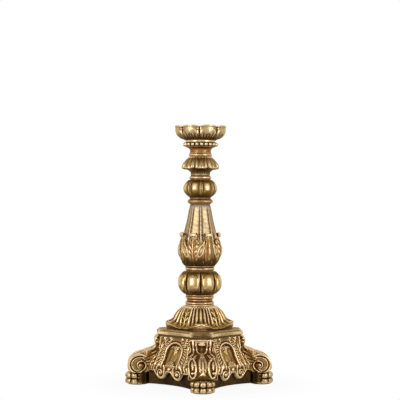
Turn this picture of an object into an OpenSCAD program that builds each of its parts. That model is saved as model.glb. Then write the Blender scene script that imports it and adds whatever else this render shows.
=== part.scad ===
// Carved and gilded candle stand: a four-legged scroll base with paw feet,
// a turned and lobed column strung on one tie rod, and a petal cup for a pillar candle.
// Millimetres. +Z is up, the origin is on the floor at the middle of the stand,
// and the four legs lie along -Y (front), +X (right), +Y (back) and -X (left).

/* [Base] */
// Height of the underside of the top plate above the floor
base_h = 112; // [108:1:118]
// Distance from the stand's axis to the middle of each paw
paw_reach = 144; // [141:1:147]
// Radius of the toes' outer line around the paw's middle
paw_r = 28.5; // [26:0.5:29]
// Height of a paw, with its pad
paw_h = 28; // [26:0.5:29]
// Width of a leg between the carved panels
leg_w = 44; // [40:1:46]
// Width of a leg's scroll across its two coils
scroll_w = 62; // [56:1:64]
// Distance from the axis to the face of a panel under the plate
panel_top_d = 77; // [75:1:79]
// Distance from the axis to the face of a panel at the skirt
panel_skirt_d = 103; // [101:1:106]
// Height of the lowest lobes of the skirt above the floor
skirt_z = 17.5; // [16:0.5:20]
// Thickness of the felt pad under each paw
pad_t = 1.5; // [1:0.5:2.5]

/* [Plate] */
// Thickness of the top plate
plate_t = 16; // [14:1:18]
// Distance from the axis to each canted corner of the plate
plate_reach = 98.8; // [96:0.4:100]
// Width of each canted corner
plate_cant_w = 49; // [46:1:52]
// Depth by which each side of the plate is hollowed in plan
plate_hollow = 5.5; // [4:0.5:7]

/* [Column] */
// Height of the shell-carved foot of the column
dome_h = 53; // [50:1:56]
// Reach of the four turned-up corners of that foot
dome_reach = 79; // [76:1:80]
// Height of the double-ring collar
collar_h = 26; // [24:1:28]
// Height of the lower knop
low_knop_h = 55; // [50:1:58]
// Radius of the lower knop
low_knop_r = 53.4; // [51:0.2:54]
// Height of the ring under the vase
vase_ring_h = 12; // [10:1:14]
// Height of the fluted vase
vase_h = 141; // [134:1:144]
// Radius of the vase at its neck
vase_neck_r = 24; // [22:0.1:24.5]
// Height of the ring over the vase
neck_ring_h = 18; // [16:1:20]
// Height of the upper knop
up_knop_h = 41; // [38:1:42]
// Radius of the upper knop
up_knop_r = 39.6; // [38:0.2:41]
// Height of the ring over the upper knop
spool_ring_h = 10; // [9:1:12]
// Height of the leaf canopy
canopy_h = 44; // [44:1:48]
// Radius of the canopy's rim
canopy_r = 44; // [42:1:46]
// Height of the neck spool
spool_h = 23; // [20:1:24]

/* [Leaves] */
// Number of leaves that clasp the vase
leaf_n = 8; // [8:1:8]
// Height of a leaf's curled tip above the foot of the vase
leaf_h = 76; // [72:1:78]
// Thickness of a leaf at its middle
leaf_t = 6.5; // [6:0.5:8]

/* [Cup] */
// Height of the bead ring
bead_ring_h = 10; // [8:1:10]
// Number of beads around the bead ring
bead_n = 22; // [18:1:23]
// Height of the petal cup
cup_h = 39; // [38:1:42]
// Radius of the cup's petals
cup_r = 60; // [58:1:61]
// Number of petals
petal_n = 8; // [8:1:8]
// Radius of the pan that the candle stands on
pan_r = 39; // [38:0.5:40]
// Turn of the cup about the stand's axis, against the legs
cup_turn = -6; // [-10:1:10]

/* [Fixings] */
// Diameter of the tie rod
rod_d = 8; // [6:1:8]
// Clearance hole for the tie rod
rod_hole_d = 9; // [9:0.5:10]
// Width of a nut across its flats
nut_w = 13; // [11:1:13]
// Height of a nut
nut_h = 6.5; // [5:0.5:7]

/* [Hidden] */
gap = 0.1;             // clearance between glued faces that are not flat on each other
leg_angles = [-90, 0, 90, 180];
panel_angles = [-135, -45, 45, 135];
leg_half = leg_w / 2;
// heights of the joints of the stack
z_plate = base_h;
z_dome = z_plate + plate_t;
z_collar = z_dome + dome_h;
z_low_knop = z_collar + collar_h;
z_vase_ring = z_low_knop + low_knop_h;
z_vase = z_vase_ring + vase_ring_h;
z_neck_ring = z_vase + vase_h;
z_up_knop = z_neck_ring + neck_ring_h;
z_spool_ring = z_up_knop + up_knop_h;
z_canopy = z_spool_ring + spool_ring_h;
z_spool = z_canopy + canopy_h;
z_bead_ring = z_spool + spool_h;
z_cup = z_bead_ring + bead_ring_h;
// core and plinth
core_z = 31;           // underside of the core
core_top_d = 66;       // distance of the core's faces from the axis, at its top
core_low_d = 84;       // and at its foot
slot_r = 60;           // distance from the axis to the inner end of each leg
plinth_z = 4;          // underside of the plinth
plinth_mid_d = 90;     // distance from the axis to the middle of a plinth side
plinth_side_r = 165;   // radius of the hollow sides
plinth_end_r = 117;    // where the plinth's points meet the paws
plinth_hole_r = 22;    // opening that lets a socket reach the lower nut
// tie rod, nuts and washers
washer_t = 1.6;
washer_r = 11;
socket_r = 14;         // pocket for the lower nut, and for the socket that turns it
rod_low_z = 24;        // lower end of the tie rod
core_seat_z = 44;      // where the lower washer bears, inside the core
cup_seat_z = z_cup + 3;     // where the upper washer bears, inside the cup
cup_pocket_r = 13;
rod_top_z = cup_seat_z + washer_t + nut_h + 0.2;
thread_gap = 0.1;
// candle pan
pan_z = z_cup + 11.5;  // underside of the pan
pan_t = 1.6;
pan_lip_h = 2.8;
pan_lip_t = 1.2;
// dowels and screws
dowel_r = 4;
dowel_len = 24;
dowel_heights = [50, 92];
dowel_fit = 0.05;
screw_r = 2.2;         // clearance hole of a screw
screw_core_r = 1.7;    // the screw itself
pilot_r = 1.8;         // its hole in the wood that it bites
screw_head_r = 4.4;
screw_head_h = 3;
screw_pocket_r = 4.7;
paw_screw_r = 138;     // distance from the axis to a paw screw
paw_screw_z = 5;       // underside of its head
paw_screw_len = 36;
plinth_screw_r = 52;   // distance from the axis to a plinth screw
plinth_screw_z = 7;
plinth_screw_len = 38;
around = 64;           // steps around a lobed piece
ring_fn = 96;          // and around a turned one

// ---- shared shapes -------------------------------------------------------

// A closed skin through loops of points, each with the same count, with flat ends. The diagonals of
// its cells run one way up to loop turn_at, where one is given, and the other way after it.
module loft(loops, turn_at = undef) {
    n = len(loops[0]);
    m = len(loops);
    sides = [for (j = [0:m - 2], i = [0:n - 1])
        let (a = j * n + i, b = j * n + (i + 1) % n, c = b + n, d = a + n)
        each is_undef(turn_at) || j < turn_at ? [[a, d, c], [a, c, b]] : [[a, d, b], [b, d, c]]];
    low = [for (i = [0:n - 1]) i];
    high = [for (i = [0:n - 1]) n * m - 1 - i];
    polyhedron([for (l = loops) each l], concat([low, high], sides), convexity = 8);
}

// A value read off a list of [key, value] pairs, with straight lines between them.
function read(table, x) = lookup(x, table);

// A lobe's share, 0 in the valley between two lobes and 1 on its crown.
function lobe(angle, n, sharp = 0.5) = pow(abs(sin(angle * n / 2)), sharp);

// One loop of a lobed ring: radius r on the crowns, cut in by depth at each of n valleys.
function lobed_loop(r, depth, n, z, steps = around, sharp = 0.5) = [for (i = [0:steps - 1])
    let (a = i * 360 / steps, rr = r - depth * (1 - lobe(a, n, sharp)))
    [rr * cos(a), rr * sin(a), z]];

// Swell of a knop from end to end: 0 at its ends and 1 at its middle.
function swell(t, square, power) = pow(max(0, 1 - pow(abs(2 * t - 1), square)), power);

// The hole that the tie rod passes through.
module rod_hole(z, h) {
    translate([0, 0, z - 1]) cylinder(d = rod_hole_d, h = h + 2, $fn = 48);
}

// A turned ring: an outline of [radius, height] points about the axis, bored for the rod.
module turned(z, outline) {
    difference() {
        translate([0, 0, z]) rotate_extrude($fn = ring_fn) polygon(outline);
        rod_hole(z, max([for (p = outline) p[1]]));
    }
}

// Points of a quarter or half round moulding, from angle a0 to a1.
function round_points(r, z, radius, a0, a1, steps = 8) =
    [for (i = [0:steps]) let (a = a0 + (a1 - a0) * i / steps) [r + radius * cos(a), z + radius * sin(a)]];

// ---- feet ----------------------------------------------------------------

module at_leg(k) {
    rotate(leg_angles[k]) children();
}

pad_r = 22;
module felt_pads() {
    color("dimgray") for (k = [0:3]) at_leg(k) translate([paw_reach, 0, 0]) cylinder(r = pad_r, h = pad_t, $fn = 48);
}

toe_n = 5;
toe_step = 36;
toe_r = 8;             // radius of a knuckle
claw_r = 8.8;          // radius of the toe below it, cut flat where it stands
claw_z = 5.5;          // height of its middle above the pad
heel_h = 24;

// A paw: a drum with five toes, each a knuckle over a claw, and a heel that meets the plinth.
module paw(k) {
    ring_r = paw_r - toe_r;
    color("darkgoldenrod") difference() {
        at_leg(k) {
            translate([paw_reach, 0, pad_t]) cylinder(r = ring_r + 1, h = paw_h - pad_t, $fn = 64);
            translate([plinth_end_r, -ring_r, pad_t]) cube([paw_reach - plinth_end_r, 2 * ring_r, heel_h]);
            for (t = [0:toe_n - 1]) translate([paw_reach, 0, 0]) rotate((t - (toe_n - 1) / 2) * toe_step) {
                translate([ring_r, 0, paw_h - toe_r]) sphere(r = toe_r, $fn = 32);
                translate([paw_r - claw_r, 0, pad_t + claw_z]) sphere(r = claw_r, $fn = 32);
            }
        }
        translate([-2 * paw_reach, -2 * paw_reach, pad_t - claw_r]) cube([4 * paw_reach, 4 * paw_reach, claw_r]);
        at_leg(k) translate([paw_screw_r, 0, 0]) {
            cylinder(r = screw_r, h = paw_h + 1, $fn = 24);
            cylinder(r = screw_pocket_r, h = paw_screw_z + screw_head_h, $fn = 32);
        }
    }
}

// ---- plinth and core -----------------------------------------------------

module plinth_plan() {
    difference() {
        intersection() {
            rotate(45) square(2 * plinth_end_r, center = true);
            square(2 * plinth_end_r, center = true);
        }
        for (a = panel_angles) rotate(a) translate([plinth_mid_d + plinth_side_r, 0]) circle(r = plinth_side_r, $fn = 160);
    }
}

module plinth() {
    color("saddlebrown") difference() {
        translate([0, 0, plinth_z]) linear_extrude(core_z - plinth_z) plinth_plan();
        cylinder(r = plinth_hole_r, h = core_z + 1, $fn = 64);
        for (a = panel_angles) rotate(a) translate([plinth_screw_r, 0, 0]) {
            cylinder(r = screw_r, h = core_z + 1, $fn = 24);
            cylinder(r = screw_pocket_r, h = plinth_screw_z + screw_head_h, $fn = 32);
        }
    }
}

module base_core() {
    low = core_low_d;
    high = core_top_d;
    color("peru") difference() {
        rotate(45) polyhedron(
            [[-low, -low, core_z], [low, -low, core_z], [low, low, core_z], [-low, low, core_z],
             [-high, -high, base_h], [high, -high, base_h], [high, high, base_h], [-high, high, base_h]],
            [[0, 1, 2, 3], [7, 6, 5, 4], [0, 4, 5, 1], [1, 5, 6, 2], [2, 6, 7, 3], [3, 7, 4, 0]]);
        for (k = [0:3]) at_leg(k) translate([slot_r, -leg_half - gap, core_z - 1])
            cube([core_low_d, leg_w + 2 * gap, base_h]);
        rod_hole(core_z, base_h - core_z);
        translate([0, 0, core_z - 1]) cylinder(r = socket_r, h = core_seat_z - core_z + 1, $fn = 48);
        for (k = [0:3]) dowel_pair(k, dowel_r, slot_r - dowel_len / 2, slot_r + 1);
        for (a = panel_angles) rotate(a) translate([plinth_screw_r, 0, core_z - 1])
            cylinder(r = pilot_r, h = plinth_screw_z + plinth_screw_len - core_z + 3, $fn = 24);
    }
}

// ---- legs ----------------------------------------------------------------

// Side view of a leg, as [distance from the axis, height], from its top round its scroll to its foot.
leg_line = [[101, base_h], [104.3, 105], [104.3, 98], [102.5, 91.5], [108, 86.2], [119, 81.4], [130.5, 76.7], [142, 72.4]];
leg_scroll_line = [[153, 67.4], [160.5, 62], [164.8, 54], [166, 45], [164.5, 36], [160.5, 30.5], [152, paw_h + gap]];
leg_outline = concat([[slot_r, core_z + gap], [slot_r, base_h]], leg_line, leg_scroll_line,
    [[plinth_end_r + 5, paw_h + gap], [plinth_end_r + 1, core_z + gap]]);
niche_side = 7;        // width of that rim on each side of the sunk front
niche_deep = 2.5;

// The coil on each flank of a leg: its radius after each quarter turn, from straight up.
scroll_c = [136.5, 45];
coil_radii = [[0, 27], [0.25, 29.3], [0.5, 17.6], [0.75, 14.5], [1, 13.5], [1.25, 11.5], [1.5, 9], [1.75, 7.5]];
coil_turns = 1.75;
coil_steps = 42;
coil_band_t = 5;
coil_sunk = 3;         // how far the flank lies behind the coil's band
eye_r = 5.5;
eye_proud = 2;
flank_curl_c = [95, 99];
flank_curl_r = 7.5;
flank_curl_w = 24;

function coil_point(t, inset) = let (a = 90 - 360 * t)
    scroll_c + (read(coil_radii, t) - inset) * [cos(a), sin(a)];
coil_band = concat(
    [for (i = [0:coil_steps]) coil_point(coil_turns * i / coil_steps, 0)],
    [for (i = [coil_steps:-1:0]) coil_point(coil_turns * i / coil_steps, coil_band_t)]);
coil_disc = [for (i = [0:23]) coil_point(0.5 + i / 24 * 0.98, 0.5)];

// An outline in the plane of a leg, drawn out to a width across it.
module across(w, points) {
    translate([0, w / 2, 0]) rotate([90, 0, 0]) linear_extrude(w) polygon(points);
}

// The pair of dowel holes, or dowels, between the core and a leg.
module dowel_pair(k, r, r0, r1) {
    for (z = dowel_heights) at_leg(k) translate([r0, 0, z]) rotate([0, 90, 0]) cylinder(r = r, h = r1 - r0, $fn = 32);
}

module leg(k) {
    color("goldenrod") difference() {
        at_leg(k) {
            across(leg_w - 2 * niche_side, concat([[slot_r, base_h]],
                [for (p = concat(leg_line, leg_scroll_line)) p - [niche_deep * 0.4, p[1] > paw_h + 1 ? niche_deep : 0]],
                [[plinth_end_r + 5, paw_h + gap], [plinth_end_r + 1, core_z + gap], [slot_r, core_z + gap]]));
            for (side = [-1, 1]) translate([0, side * (leg_half - niche_side / 2), 0]) across(niche_side, leg_outline);
            across(scroll_w, coil_band);
            across(scroll_w - 2 * coil_sunk, coil_disc);
            translate([scroll_c[0], scroll_w / 2 + eye_proud, scroll_c[1]]) rotate([90, 0, 0])
                cylinder(r = eye_r, h = scroll_w + 2 * eye_proud, $fn = 40);
            translate([flank_curl_c[0] + 1, flank_curl_w / 2, flank_curl_c[1]]) rotate([90, 0, 0])
                cylinder(r = flank_curl_r, h = flank_curl_w, $fn = 40);
        }
        dowel_pair(k, dowel_r, slot_r - 1, slot_r + dowel_len / 2);
        at_leg(k) translate([paw_screw_r, 0, paw_h - 1])
            cylinder(r = pilot_r, h = paw_screw_z + paw_screw_len - paw_h + 3, $fn = 24);
    }
}

module leg_dowels() {
    half = dowel_len / 2 - 0.3;
    color("burlywood") for (k = [0:3]) dowel_pair(k, dowel_r - dowel_fit, slot_r - half, slot_r + half);
}

module screw(z, length) {
    translate([0, 0, z]) {
        cylinder(r1 = screw_head_r, r2 = screw_core_r, h = screw_head_h, $fn = 32);
        cylinder(r = screw_core_r, h = length, $fn = 24);
    }
}

module paw_screws() {
    color("silver") for (k = [0:3]) at_leg(k) translate([paw_screw_r, 0, 0]) screw(paw_screw_z, paw_screw_len);
}

module plinth_screws() {
    color("silver") for (a = panel_angles) rotate(a) translate([plinth_screw_r, 0, 0])
        screw(plinth_screw_z, plinth_screw_len);
}

// ---- panels --------------------------------------------------------------

panel_across = [0, 3.5, 7, 11, 15.5, 20, 22.6, 25, 27.6, 30.4, 33.4, 36.4];   // stations of the face from its middle
panel_outer_n = 7;         // further stations from the last of those to the leg
panel_up = [45, 49, 54, 60, 66, 72, 78, 83, 87.5, 91, 94, 97, 99.6, 102, 104, 106.5, 109, 112];   // and its levels, over the skirt
panel_skirt_up = [0, 0.08, 0.18, 0.34, 0.52, 0.7, 0.86];   // shares of the way from the skirt's edge to the first of those
skirt_turn_z = 50;         // where the slope of the face turns into the hanging skirt
skirt_end_z = 34;          // lower edge of the skirt beside the legs
skirt_lobe_e = 26.6;       // distance of each skirt scroll from the middle of the panel
skirt_lobe_w = 19;         // half the width of its lobe
skirt_scroll_z = 32;
skirt_scroll_r = 15;
skirt_scroll_proud = 4.5;
skirt_back = 7;            // thickness of the hanging skirt
skirt_end_back = 2.5;      // how far its ends fall back beside the legs
skirt_tuck = 2;            // how far the skirt's lowest lobes curve back under it
slope_power = 1.9;         // the face is steep under the plate and flares at the skirt
field_top_z = 100;         // the arched field: its top, spring line and foot
field_spring_z = 78;
field_low_z = 45;
field_half_top = 25;
field_half_low = 24;
field_rim = 2.6;           // half the width of its rim
field_sunk = 2.4;
field_rim_proud = 2.2;
band_out = 8.4;            // from the rim's middle to the middle of the roped band around it
band_half = 3;
band_proud = 1.7;
shell_c = [0, 41.5];       // the shell at the field's foot: its middle as [across, height]
shell_r = 16;
shell_proud = 3;
shell_n = 9;               // its flutes in half a turn
field_leaf_half = 8.5;     // the leaf in the field: half its width, and its foot and tip
field_leaf_z = [57, 92];
field_leaf_proud = 2.2;
side_leaf_e = 46;          // the leaf between the field and a leg: its middle at its foot
side_leaf_lean = 0.14;     // how much nearer to the field it stands for each millimetre up
side_leaf_half = 7;
side_leaf_z = [42, 100];
side_leaf_proud = 2.4;
skirt_rim = 4.5;           // height of the roll along the skirt's edge
skirt_rim_proud = 2;

// Distance of the panel's face from the axis at height z, and at k, from -1 to 1 across it.
function face_d(z, k) = let (f = min(1, max(0, (base_h - z) / (base_h - skirt_turn_z))))
    panel_top_d + (panel_skirt_d - panel_top_d) * pow(f, slope_power)
    - skirt_tuck * pow(max(0, skirt_turn_z - z) / (skirt_turn_z - skirt_z), 1.5)
    + k * k * (plate_hollow * (1 - f) - skirt_end_back * f);

// Lower edge of the skirt: two hanging lobes and a nick between them.
function skirt_edge(e) = let (u = (abs(e) - skirt_lobe_e) / skirt_lobe_w)
    skirt_end_z - (abs(u) < 1 ? (skirt_end_z - skirt_z) * pow(cos(u * 90), 0.8) : 0);

// Half the width of the arched field at height z.
function field_half(z) = z > field_spring_z
    ? field_half_top * sqrt(max(0, 1 - pow((z - field_spring_z) / (field_top_z - field_spring_z), 2)))
    : field_half_low + (field_half_top - field_half_low) * (z - field_low_z) / (field_spring_z - field_low_z);

// A rounded swell, 1 in its middle and 0 at a distance of 1.
function bump(q) = abs(q) < 1 ? cos(q * 90) : 0;

// How far a point of the face lies inside the arched field, and outside it where negative.
function field_depth(e, z) = z > field_spring_z
    ? field_half_top * (1 - norm([e / field_half_top, (z - field_spring_z) / (field_top_z - field_spring_z)]))
    : field_half(z) - abs(e);

// A leaf's swell: across it, and up it from its foot to its tip.
function blade(across, half, z, ends) = let (t = (z - ends[0]) / (ends[1] - ends[0]))
    t > 0 && t < 1 ? bump(across / (half * pow(sin(180 * (0.12 + 0.86 * t)), 0.7))) : 0;

// Relief of the face: the sunk field with its rim and roped band, the leaf in the field and the shell
// at its foot, a leaf on each side of it, the two skirt scrolls and the roll along the skirt's edge.
function relief(e, z) = let (
        inside = field_depth(e, z),
        fade = max(0, min(1, (z - field_low_z) / 4)),
        scroll = norm([abs(e) - skirt_lobe_e, z - skirt_scroll_z]) / skirt_scroll_r,
        ray = [e, z] - shell_c,
        fan = ray[1] > -2 ? bump(norm(ray) / shell_r) : 0,
        side = abs(e) - side_leaf_e + side_leaf_lean * (z - side_leaf_z[0]),
        low = max(0, z - skirt_edge(e)))
    max(
        fade * (inside > 0 ? field_rim_proud * bump(inside / field_rim) - field_sunk * (1 - bump(inside / field_rim))
            : max(field_rim_proud * bump(inside / field_rim), band_proud * bump((inside + band_out) / band_half)))
        + field_leaf_proud * blade(e, field_leaf_half, z, field_leaf_z),
        fan > 0 ? shell_proud * sqrt(fan) * (0.75 + 0.25 * cos(shell_n * 2 * atan2(ray[0], max(0.1, ray[1])))) : -field_sunk,
        side_leaf_proud * blade(side, side_leaf_half, z, side_leaf_z) - (abs(side) < side_leaf_half ? 0 : field_sunk),
        skirt_scroll_proud * bump(scroll) - (scroll < 1 ? 0 : field_sunk),
        low < skirt_rim ? skirt_rim_proud * bump(low / skirt_rim) : -field_sunk);

// A point of the panel at distance d from the axis, k of the way from its middle to its end.
panel_cut = (leg_half + gap) * sqrt(2);
function panel_point(d, k, z) = [d, k * (d - panel_cut), z];

// Station i of the face at height z: how far it lies from the middle, and k there.
panel_last = len(panel_across) + panel_outer_n - 1;
function station_e(i, z) = let (inner = len(panel_across) - 1, e = panel_across[min(i, inner)])
    i <= inner ? e : e + (face_d(z, 1) - panel_cut - e) * (i - inner) / panel_outer_n;
function station_k(i, z) = let (e = station_e(i, z), d = face_d(z, e / (face_d(z, 1) - panel_cut)))
    e / (d - panel_cut);

// The outline of the panel at station i to one hand of its middle.
function panel_section(i, hand) = let (
        z_low = skirt_edge(station_e(i, skirt_turn_z)),
        first = panel_up[0],
        last = panel_up[len(panel_up) - 1],
        even = max(0, (i - len(panel_across) + 1) / panel_outer_n),
        skirt_n = len(panel_skirt_up),
        levels = concat([for (j = [0:skirt_n - 1]) let (t = panel_skirt_up[j])
            z_low + (first - z_low) * (t + (j / skirt_n - t) * even)],
            [for (z = panel_up) first + (z - first) * (base_h - first) / (last - first)]),
        skirt_k = hand * station_k(i, skirt_turn_z),
        back_k = hand * i / panel_last)
    concat(
        [for (j = [0:len(levels) - 1]) let (
            z = levels[j],
            k = hand * station_k(i, z),
            d = face_d(z, k),
            carved = j > 0 && j < len(levels) - 1 && i < panel_last ? relief(panel_point(d, k, z)[1], z) : 0)
            panel_point(d, k, z) + [carved, 0, 0]],
        [panel_point(core_top_d + gap, back_k, base_h), panel_point(core_low_d + gap, back_k, core_z)],
        [for (z = [core_z + gap, z_low]) panel_point(face_d(skirt_turn_z, skirt_k) - skirt_back, skirt_k, z)]);

module panel(a) {
    color("goldenrod") rotate(a) loft(concat(
        [for (i = [panel_last:-1:0]) panel_section(i, 1)],
        [for (i = [1:panel_last]) panel_section(i, -1)]), panel_last);
}

// ---- plate and dome ------------------------------------------------------

plate_edge = [[0, 4.8, 4], [4.8, 7.2, 0], [12, 2, 1.2], [14, 2, 3]];   // steps of its edge: [height, thickness, inset]

module plate_plan(inset) {
    reach = plate_reach - inset;
    cant = plate_cant_w / 2 - inset * 0.4;
    chord = (reach - cant) * sqrt(2);
    side_r = (pow(chord / 2, 2) + pow(plate_hollow, 2)) / (2 * plate_hollow);
    mid_d = (reach + cant) / sqrt(2) - plate_hollow;
    difference() {
        polygon([[-cant, -reach], [cant, -reach], [reach, -cant], [reach, cant],
                 [cant, reach], [-cant, reach], [-reach, cant], [-reach, -cant]]);
        for (a = panel_angles) rotate(a) translate([mid_d + side_r, 0]) circle(r = side_r, $fn = 200);
    }
}

module top_plate() {
    k = plate_t / 16;
    color("darkgoldenrod") difference() {
        for (step = plate_edge) translate([0, 0, z_plate + step[0] * k]) linear_extrude(step[1] * k) plate_plan(step[2]);
        rod_hole(z_plate, plate_t);
    }
}

// The dome's outline over a leg, where its corner turns up, and midway between two legs: [height, radius].
dome_over_leg = [[0, 76], [3, 77], [8, 78.5], [13, 79], [17, 77.5], [19, 70], [22, 64], [26, 60], [31, 57.5],
    [36, 54.5], [40, 51.3], [45, 45.8], [49, 41], [53, 35.5]];
dome_between = [[0, 57], [1, 59], [2.5, 60], [5, 60], [8, 58.5], [10, 55.5], [13, 53.5], [18, 52], [24, 50],
    [30, 47.5], [36, 45], [42, 42], [48, 38.5], [53, 35.5]];

// A corner's share: 1 over a leg and 0 midway between two.
function corner_share(a) = pow(max(0, (cos(4 * a) + 1) / 2), 2.2);

dome_around = 96;
fan_step = 15;         // bearing from one rib of a leg's shell to the next
fan_half = 33;         // how far the shell spreads to each side of a leg
rib_proud = 1.5;
flute_sunk = 1.4;
dome_leaf_proud = 2.6; // the leaf between two shells
dome_leaf_half = 11;
lip_share = 0.34;      // below this share of its outline the foot is a plain lip

// Relief of the shell-carved foot: ribs and flutes over a leg, and a leaf midway between two.
function dome_carve(a, share) = let (
        off = a - 90 * round(a / 90),
        turn = abs(off / fan_step - round(off / fan_step)) * 2,
        leaf = (45 - abs(off)) / dome_leaf_half,
        grow = min(1, max(0, (share - lip_share) * 9)) * min(1, max(0, (0.98 - share) * 12)))
    grow * (abs(off) < fan_half ? rib_proud * pow(1 - turn, 1.5) - flute_sunk * turn
        : max(-flute_sunk * 0.6, leaf < 1 ? dome_leaf_proud * bump(leaf) - 0.5 : -flute_sunk));

module shell_dome() {
    kh = dome_h / 53;
    color("darkgoldenrod") difference() {
        loft([for (i = [0:len(dome_over_leg) - 1]) [for (j = [0:dome_around - 1]) let (
            a = j * 360 / dome_around,
            share = corner_share(a),
            reach = 1 + (dome_reach / 79 - 1) * share,
            p = dome_between[i] + (dome_over_leg[i] - dome_between[i]) * share,
            r = p[1] * reach + dome_carve(a, i / (len(dome_over_leg) - 1)))
            [r * cos(a), r * sin(a), z_dome + p[0] * kh]]]);
        rod_hole(z_dome, dome_h);
    }
}

// ---- turned rings --------------------------------------------------------

module ring_collar() {
    color("gold") turned(z_collar, concat([[0, 0], [33.8, 0], [34, 1.5], [32.6, 3.8]], round_points(30.4, 6.8, 3, -60, 75),
        [[30.2, 11], [30.2, 16]], round_points(30.2, 19.8, 3, -70, 60),
        [[31.6, collar_h - 2.8], [33.2, collar_h - 1], [33.2, collar_h], [0, collar_h]]));
}

module vase_ring() {
    color("gold") turned(z_vase_ring, concat([[0, 0], [31.5, 0], [32, 1.5]], round_points(31.1, 5.4, 3, -70, 70),
        [[32.6, vase_ring_h - 3], [35.2, vase_ring_h - 1], [35.2, vase_ring_h], [0, vase_ring_h]]));
}

module neck_ring() {
    color("gold") turned(z_neck_ring, concat([[0, 0], [23.8, 0], [24.6, 2], [26.8, 3.4]], round_points(26, 7.2, 3.2, -70, 80),
        [[26.4, 11.2]], round_points(26, 14, 2.6, -60, 80), [[26.7, neck_ring_h], [0, neck_ring_h]]));
}

module spool_ring() {
    color("gold") turned(z_spool_ring, concat([[0, 0], [24, 0]], round_points(22.2, 4.7, 3.5, -75, 75),
        [[22.6, spool_ring_h - 1], [22.6, spool_ring_h], [0, spool_ring_h]]));
}

module neck_spool() {
    color("gold") turned(z_spool, concat([[0, 0], [25, 0]], round_points(24.4, 3.4, 2.9, -80, 80),
        [[26.3, 7.2], [26, 8.8], [24.4, 10], [24.4, 14.5], [26, 18.4], [29.6, spool_h - 2],
        [35, spool_h - 0.8], [35, spool_h], [0, spool_h]]));
}

bead_r = 4.4;
bead_row_r = 37;
module bead_ring() {
    color("gold") difference() {
        union() {
            translate([0, 0, z_bead_ring]) rotate_extrude($fn = ring_fn)
                polygon([[0, 0], [35, 0], [36, 1], [35, 2.4], [35, bead_ring_h - 2.4], [36, bead_ring_h - 1],
                    [35, bead_ring_h], [0, bead_ring_h]]);
            for (i = [0:bead_n - 1]) rotate(i * 360 / bead_n)
                translate([bead_row_r, 0, z_bead_ring + bead_ring_h / 2]) sphere(r = bead_r, $fn = 24);
        }
        rod_hole(z_bead_ring, bead_ring_h);
    }
}

// ---- knops, vase and leaves ----------------------------------------------

knop_lobes = 8;
knop_rows = 12;

// A lobed knop with end radii r0 and r1 and crown radius r, its valleys cut in by depth.
module knop(z, h, r, r0, r1, depth, square, power) {
    difference() {
        loft([for (j = [0:knop_rows]) let (
            t = (1 - cos(j / knop_rows * 180)) / 2,
            s = swell(t, square, power),
            ends = r0 + (r1 - r0) * t)
            lobed_loop(ends + (r - ends) * s, depth * s, knop_lobes, z + h * t)]);
        rod_hole(z, h);
    }
}

module lower_knop() {
    color("goldenrod") knop(z_low_knop, low_knop_h, low_knop_r, 30.2, 33.4, 8.5, 2.2, 0.62);
}

module upper_knop() {
    color("goldenrod") knop(z_up_knop, up_knop_h, up_knop_r, 24.8, 27.2, 6, 2, 0.8);
}

// Outline of the vase at its design height of 139: [height, radius].
vase_outline = [[0, 33], [5, 38], [10, 41.5], [16, 44.3], [24, 46], [36, 46.2], [48, 44], [60, 41], [72, 38.6],
    [84, 36.2], [98, 32.2], [112, 29.2], [126, 26.3], [139, 24]];
flute_start = 70;      // height above which the vase is lobed into broad flutes
flute_deep = 3.2;

function vase_r(h) = read(vase_outline, h * 139 / vase_h) * (1 + (vase_neck_r / 24 - 1) * h / vase_h);

module fluted_vase() {
    color("gold") difference() {
        loft([for (p = vase_outline) let (h = p[0] * vase_h / 139)
            lobed_loop(vase_r(h), h < flute_start ? 0 : flute_deep, knop_lobes, z_vase + h)]);
        rod_hole(z_vase, vase_h);
    }
}

// Leaves that clasp the vase: at each share of the height, how far the back stands off the vase,
// how thick the leaf is and half its angle around the axis.
leaf_steps = [[0, 0.1, 2, 16], [0.12, 0.1, 4, 19], [0.3, 0.1, 5.4, 21.5], [0.5, 0.1, 6, 21.5], [0.7, 0.3, 7, 19],
    [0.84, 1.2, 7.4, 15.5], [0.93, 3.6, 7.8, 12], [1, 7, 5.6, 8.5]];
leaf_columns = 6;
leaf_rows = 12;

function leaf_read(f, i) = read([for (s = leaf_steps) [s[0], s[i]]], f);
function leaf_point(f, u, turn, rise) = let (
        h = leaf_h * f,
        a = turn + leaf_read(f, 3) * u,
        d = vase_r(h) + leaf_read(f, 1) + rise)
    [d * cos(a), d * sin(a), z_vase + h];

module leaf(k) {
    turn = (k - 0.5) * 360 / leaf_n;
    color("goldenrod") loft([for (j = [0:leaf_rows]) let (
        f = j / leaf_rows,
        thick = leaf_read(f, 2) * leaf_t / 6.5)
        concat(
            [for (i = [0:leaf_columns]) let (u = 2 * i / leaf_columns - 1)
                leaf_point(f, u, turn, 0.5 + thick * sqrt(max(0, 1 - u * u)))],
            [for (i = [leaf_columns:-1:0]) leaf_point(f, 2 * i / leaf_columns - 1, turn, 0)])]);
}

// ---- canopy and cup ------------------------------------------------------

// Outline of the canopy at its design height of 46: [height, radius].
canopy_outline = [[0, 22.3], [3, 22.3], [6, 22.8], [9, 24], [11.5, 27], [14, 31], [16, 35.5], [17.6, 40], [18.8, 43.2],
    [20.5, 44], [24, 43.6], [28, 42.2], [32, 39.8], [36, 36.6], [40, 31.8], [43, 28.6], [46, 26.2]];
canopy_leaves = 8;
canopy_notch = 3.2;    // depth of the notches between its leaves

module leaf_canopy() {
    color("goldenrod") difference() {
        rotate(180 / canopy_leaves) loft([for (p = canopy_outline)
            lobed_loop(p[1] * canopy_r / 44, canopy_notch * max(0, 1 - abs(p[0] - 22) / 18), canopy_leaves,
                z_canopy + p[0] * canopy_h / 46)]);
        rod_hole(z_canopy, canopy_h);
    }
}

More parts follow.
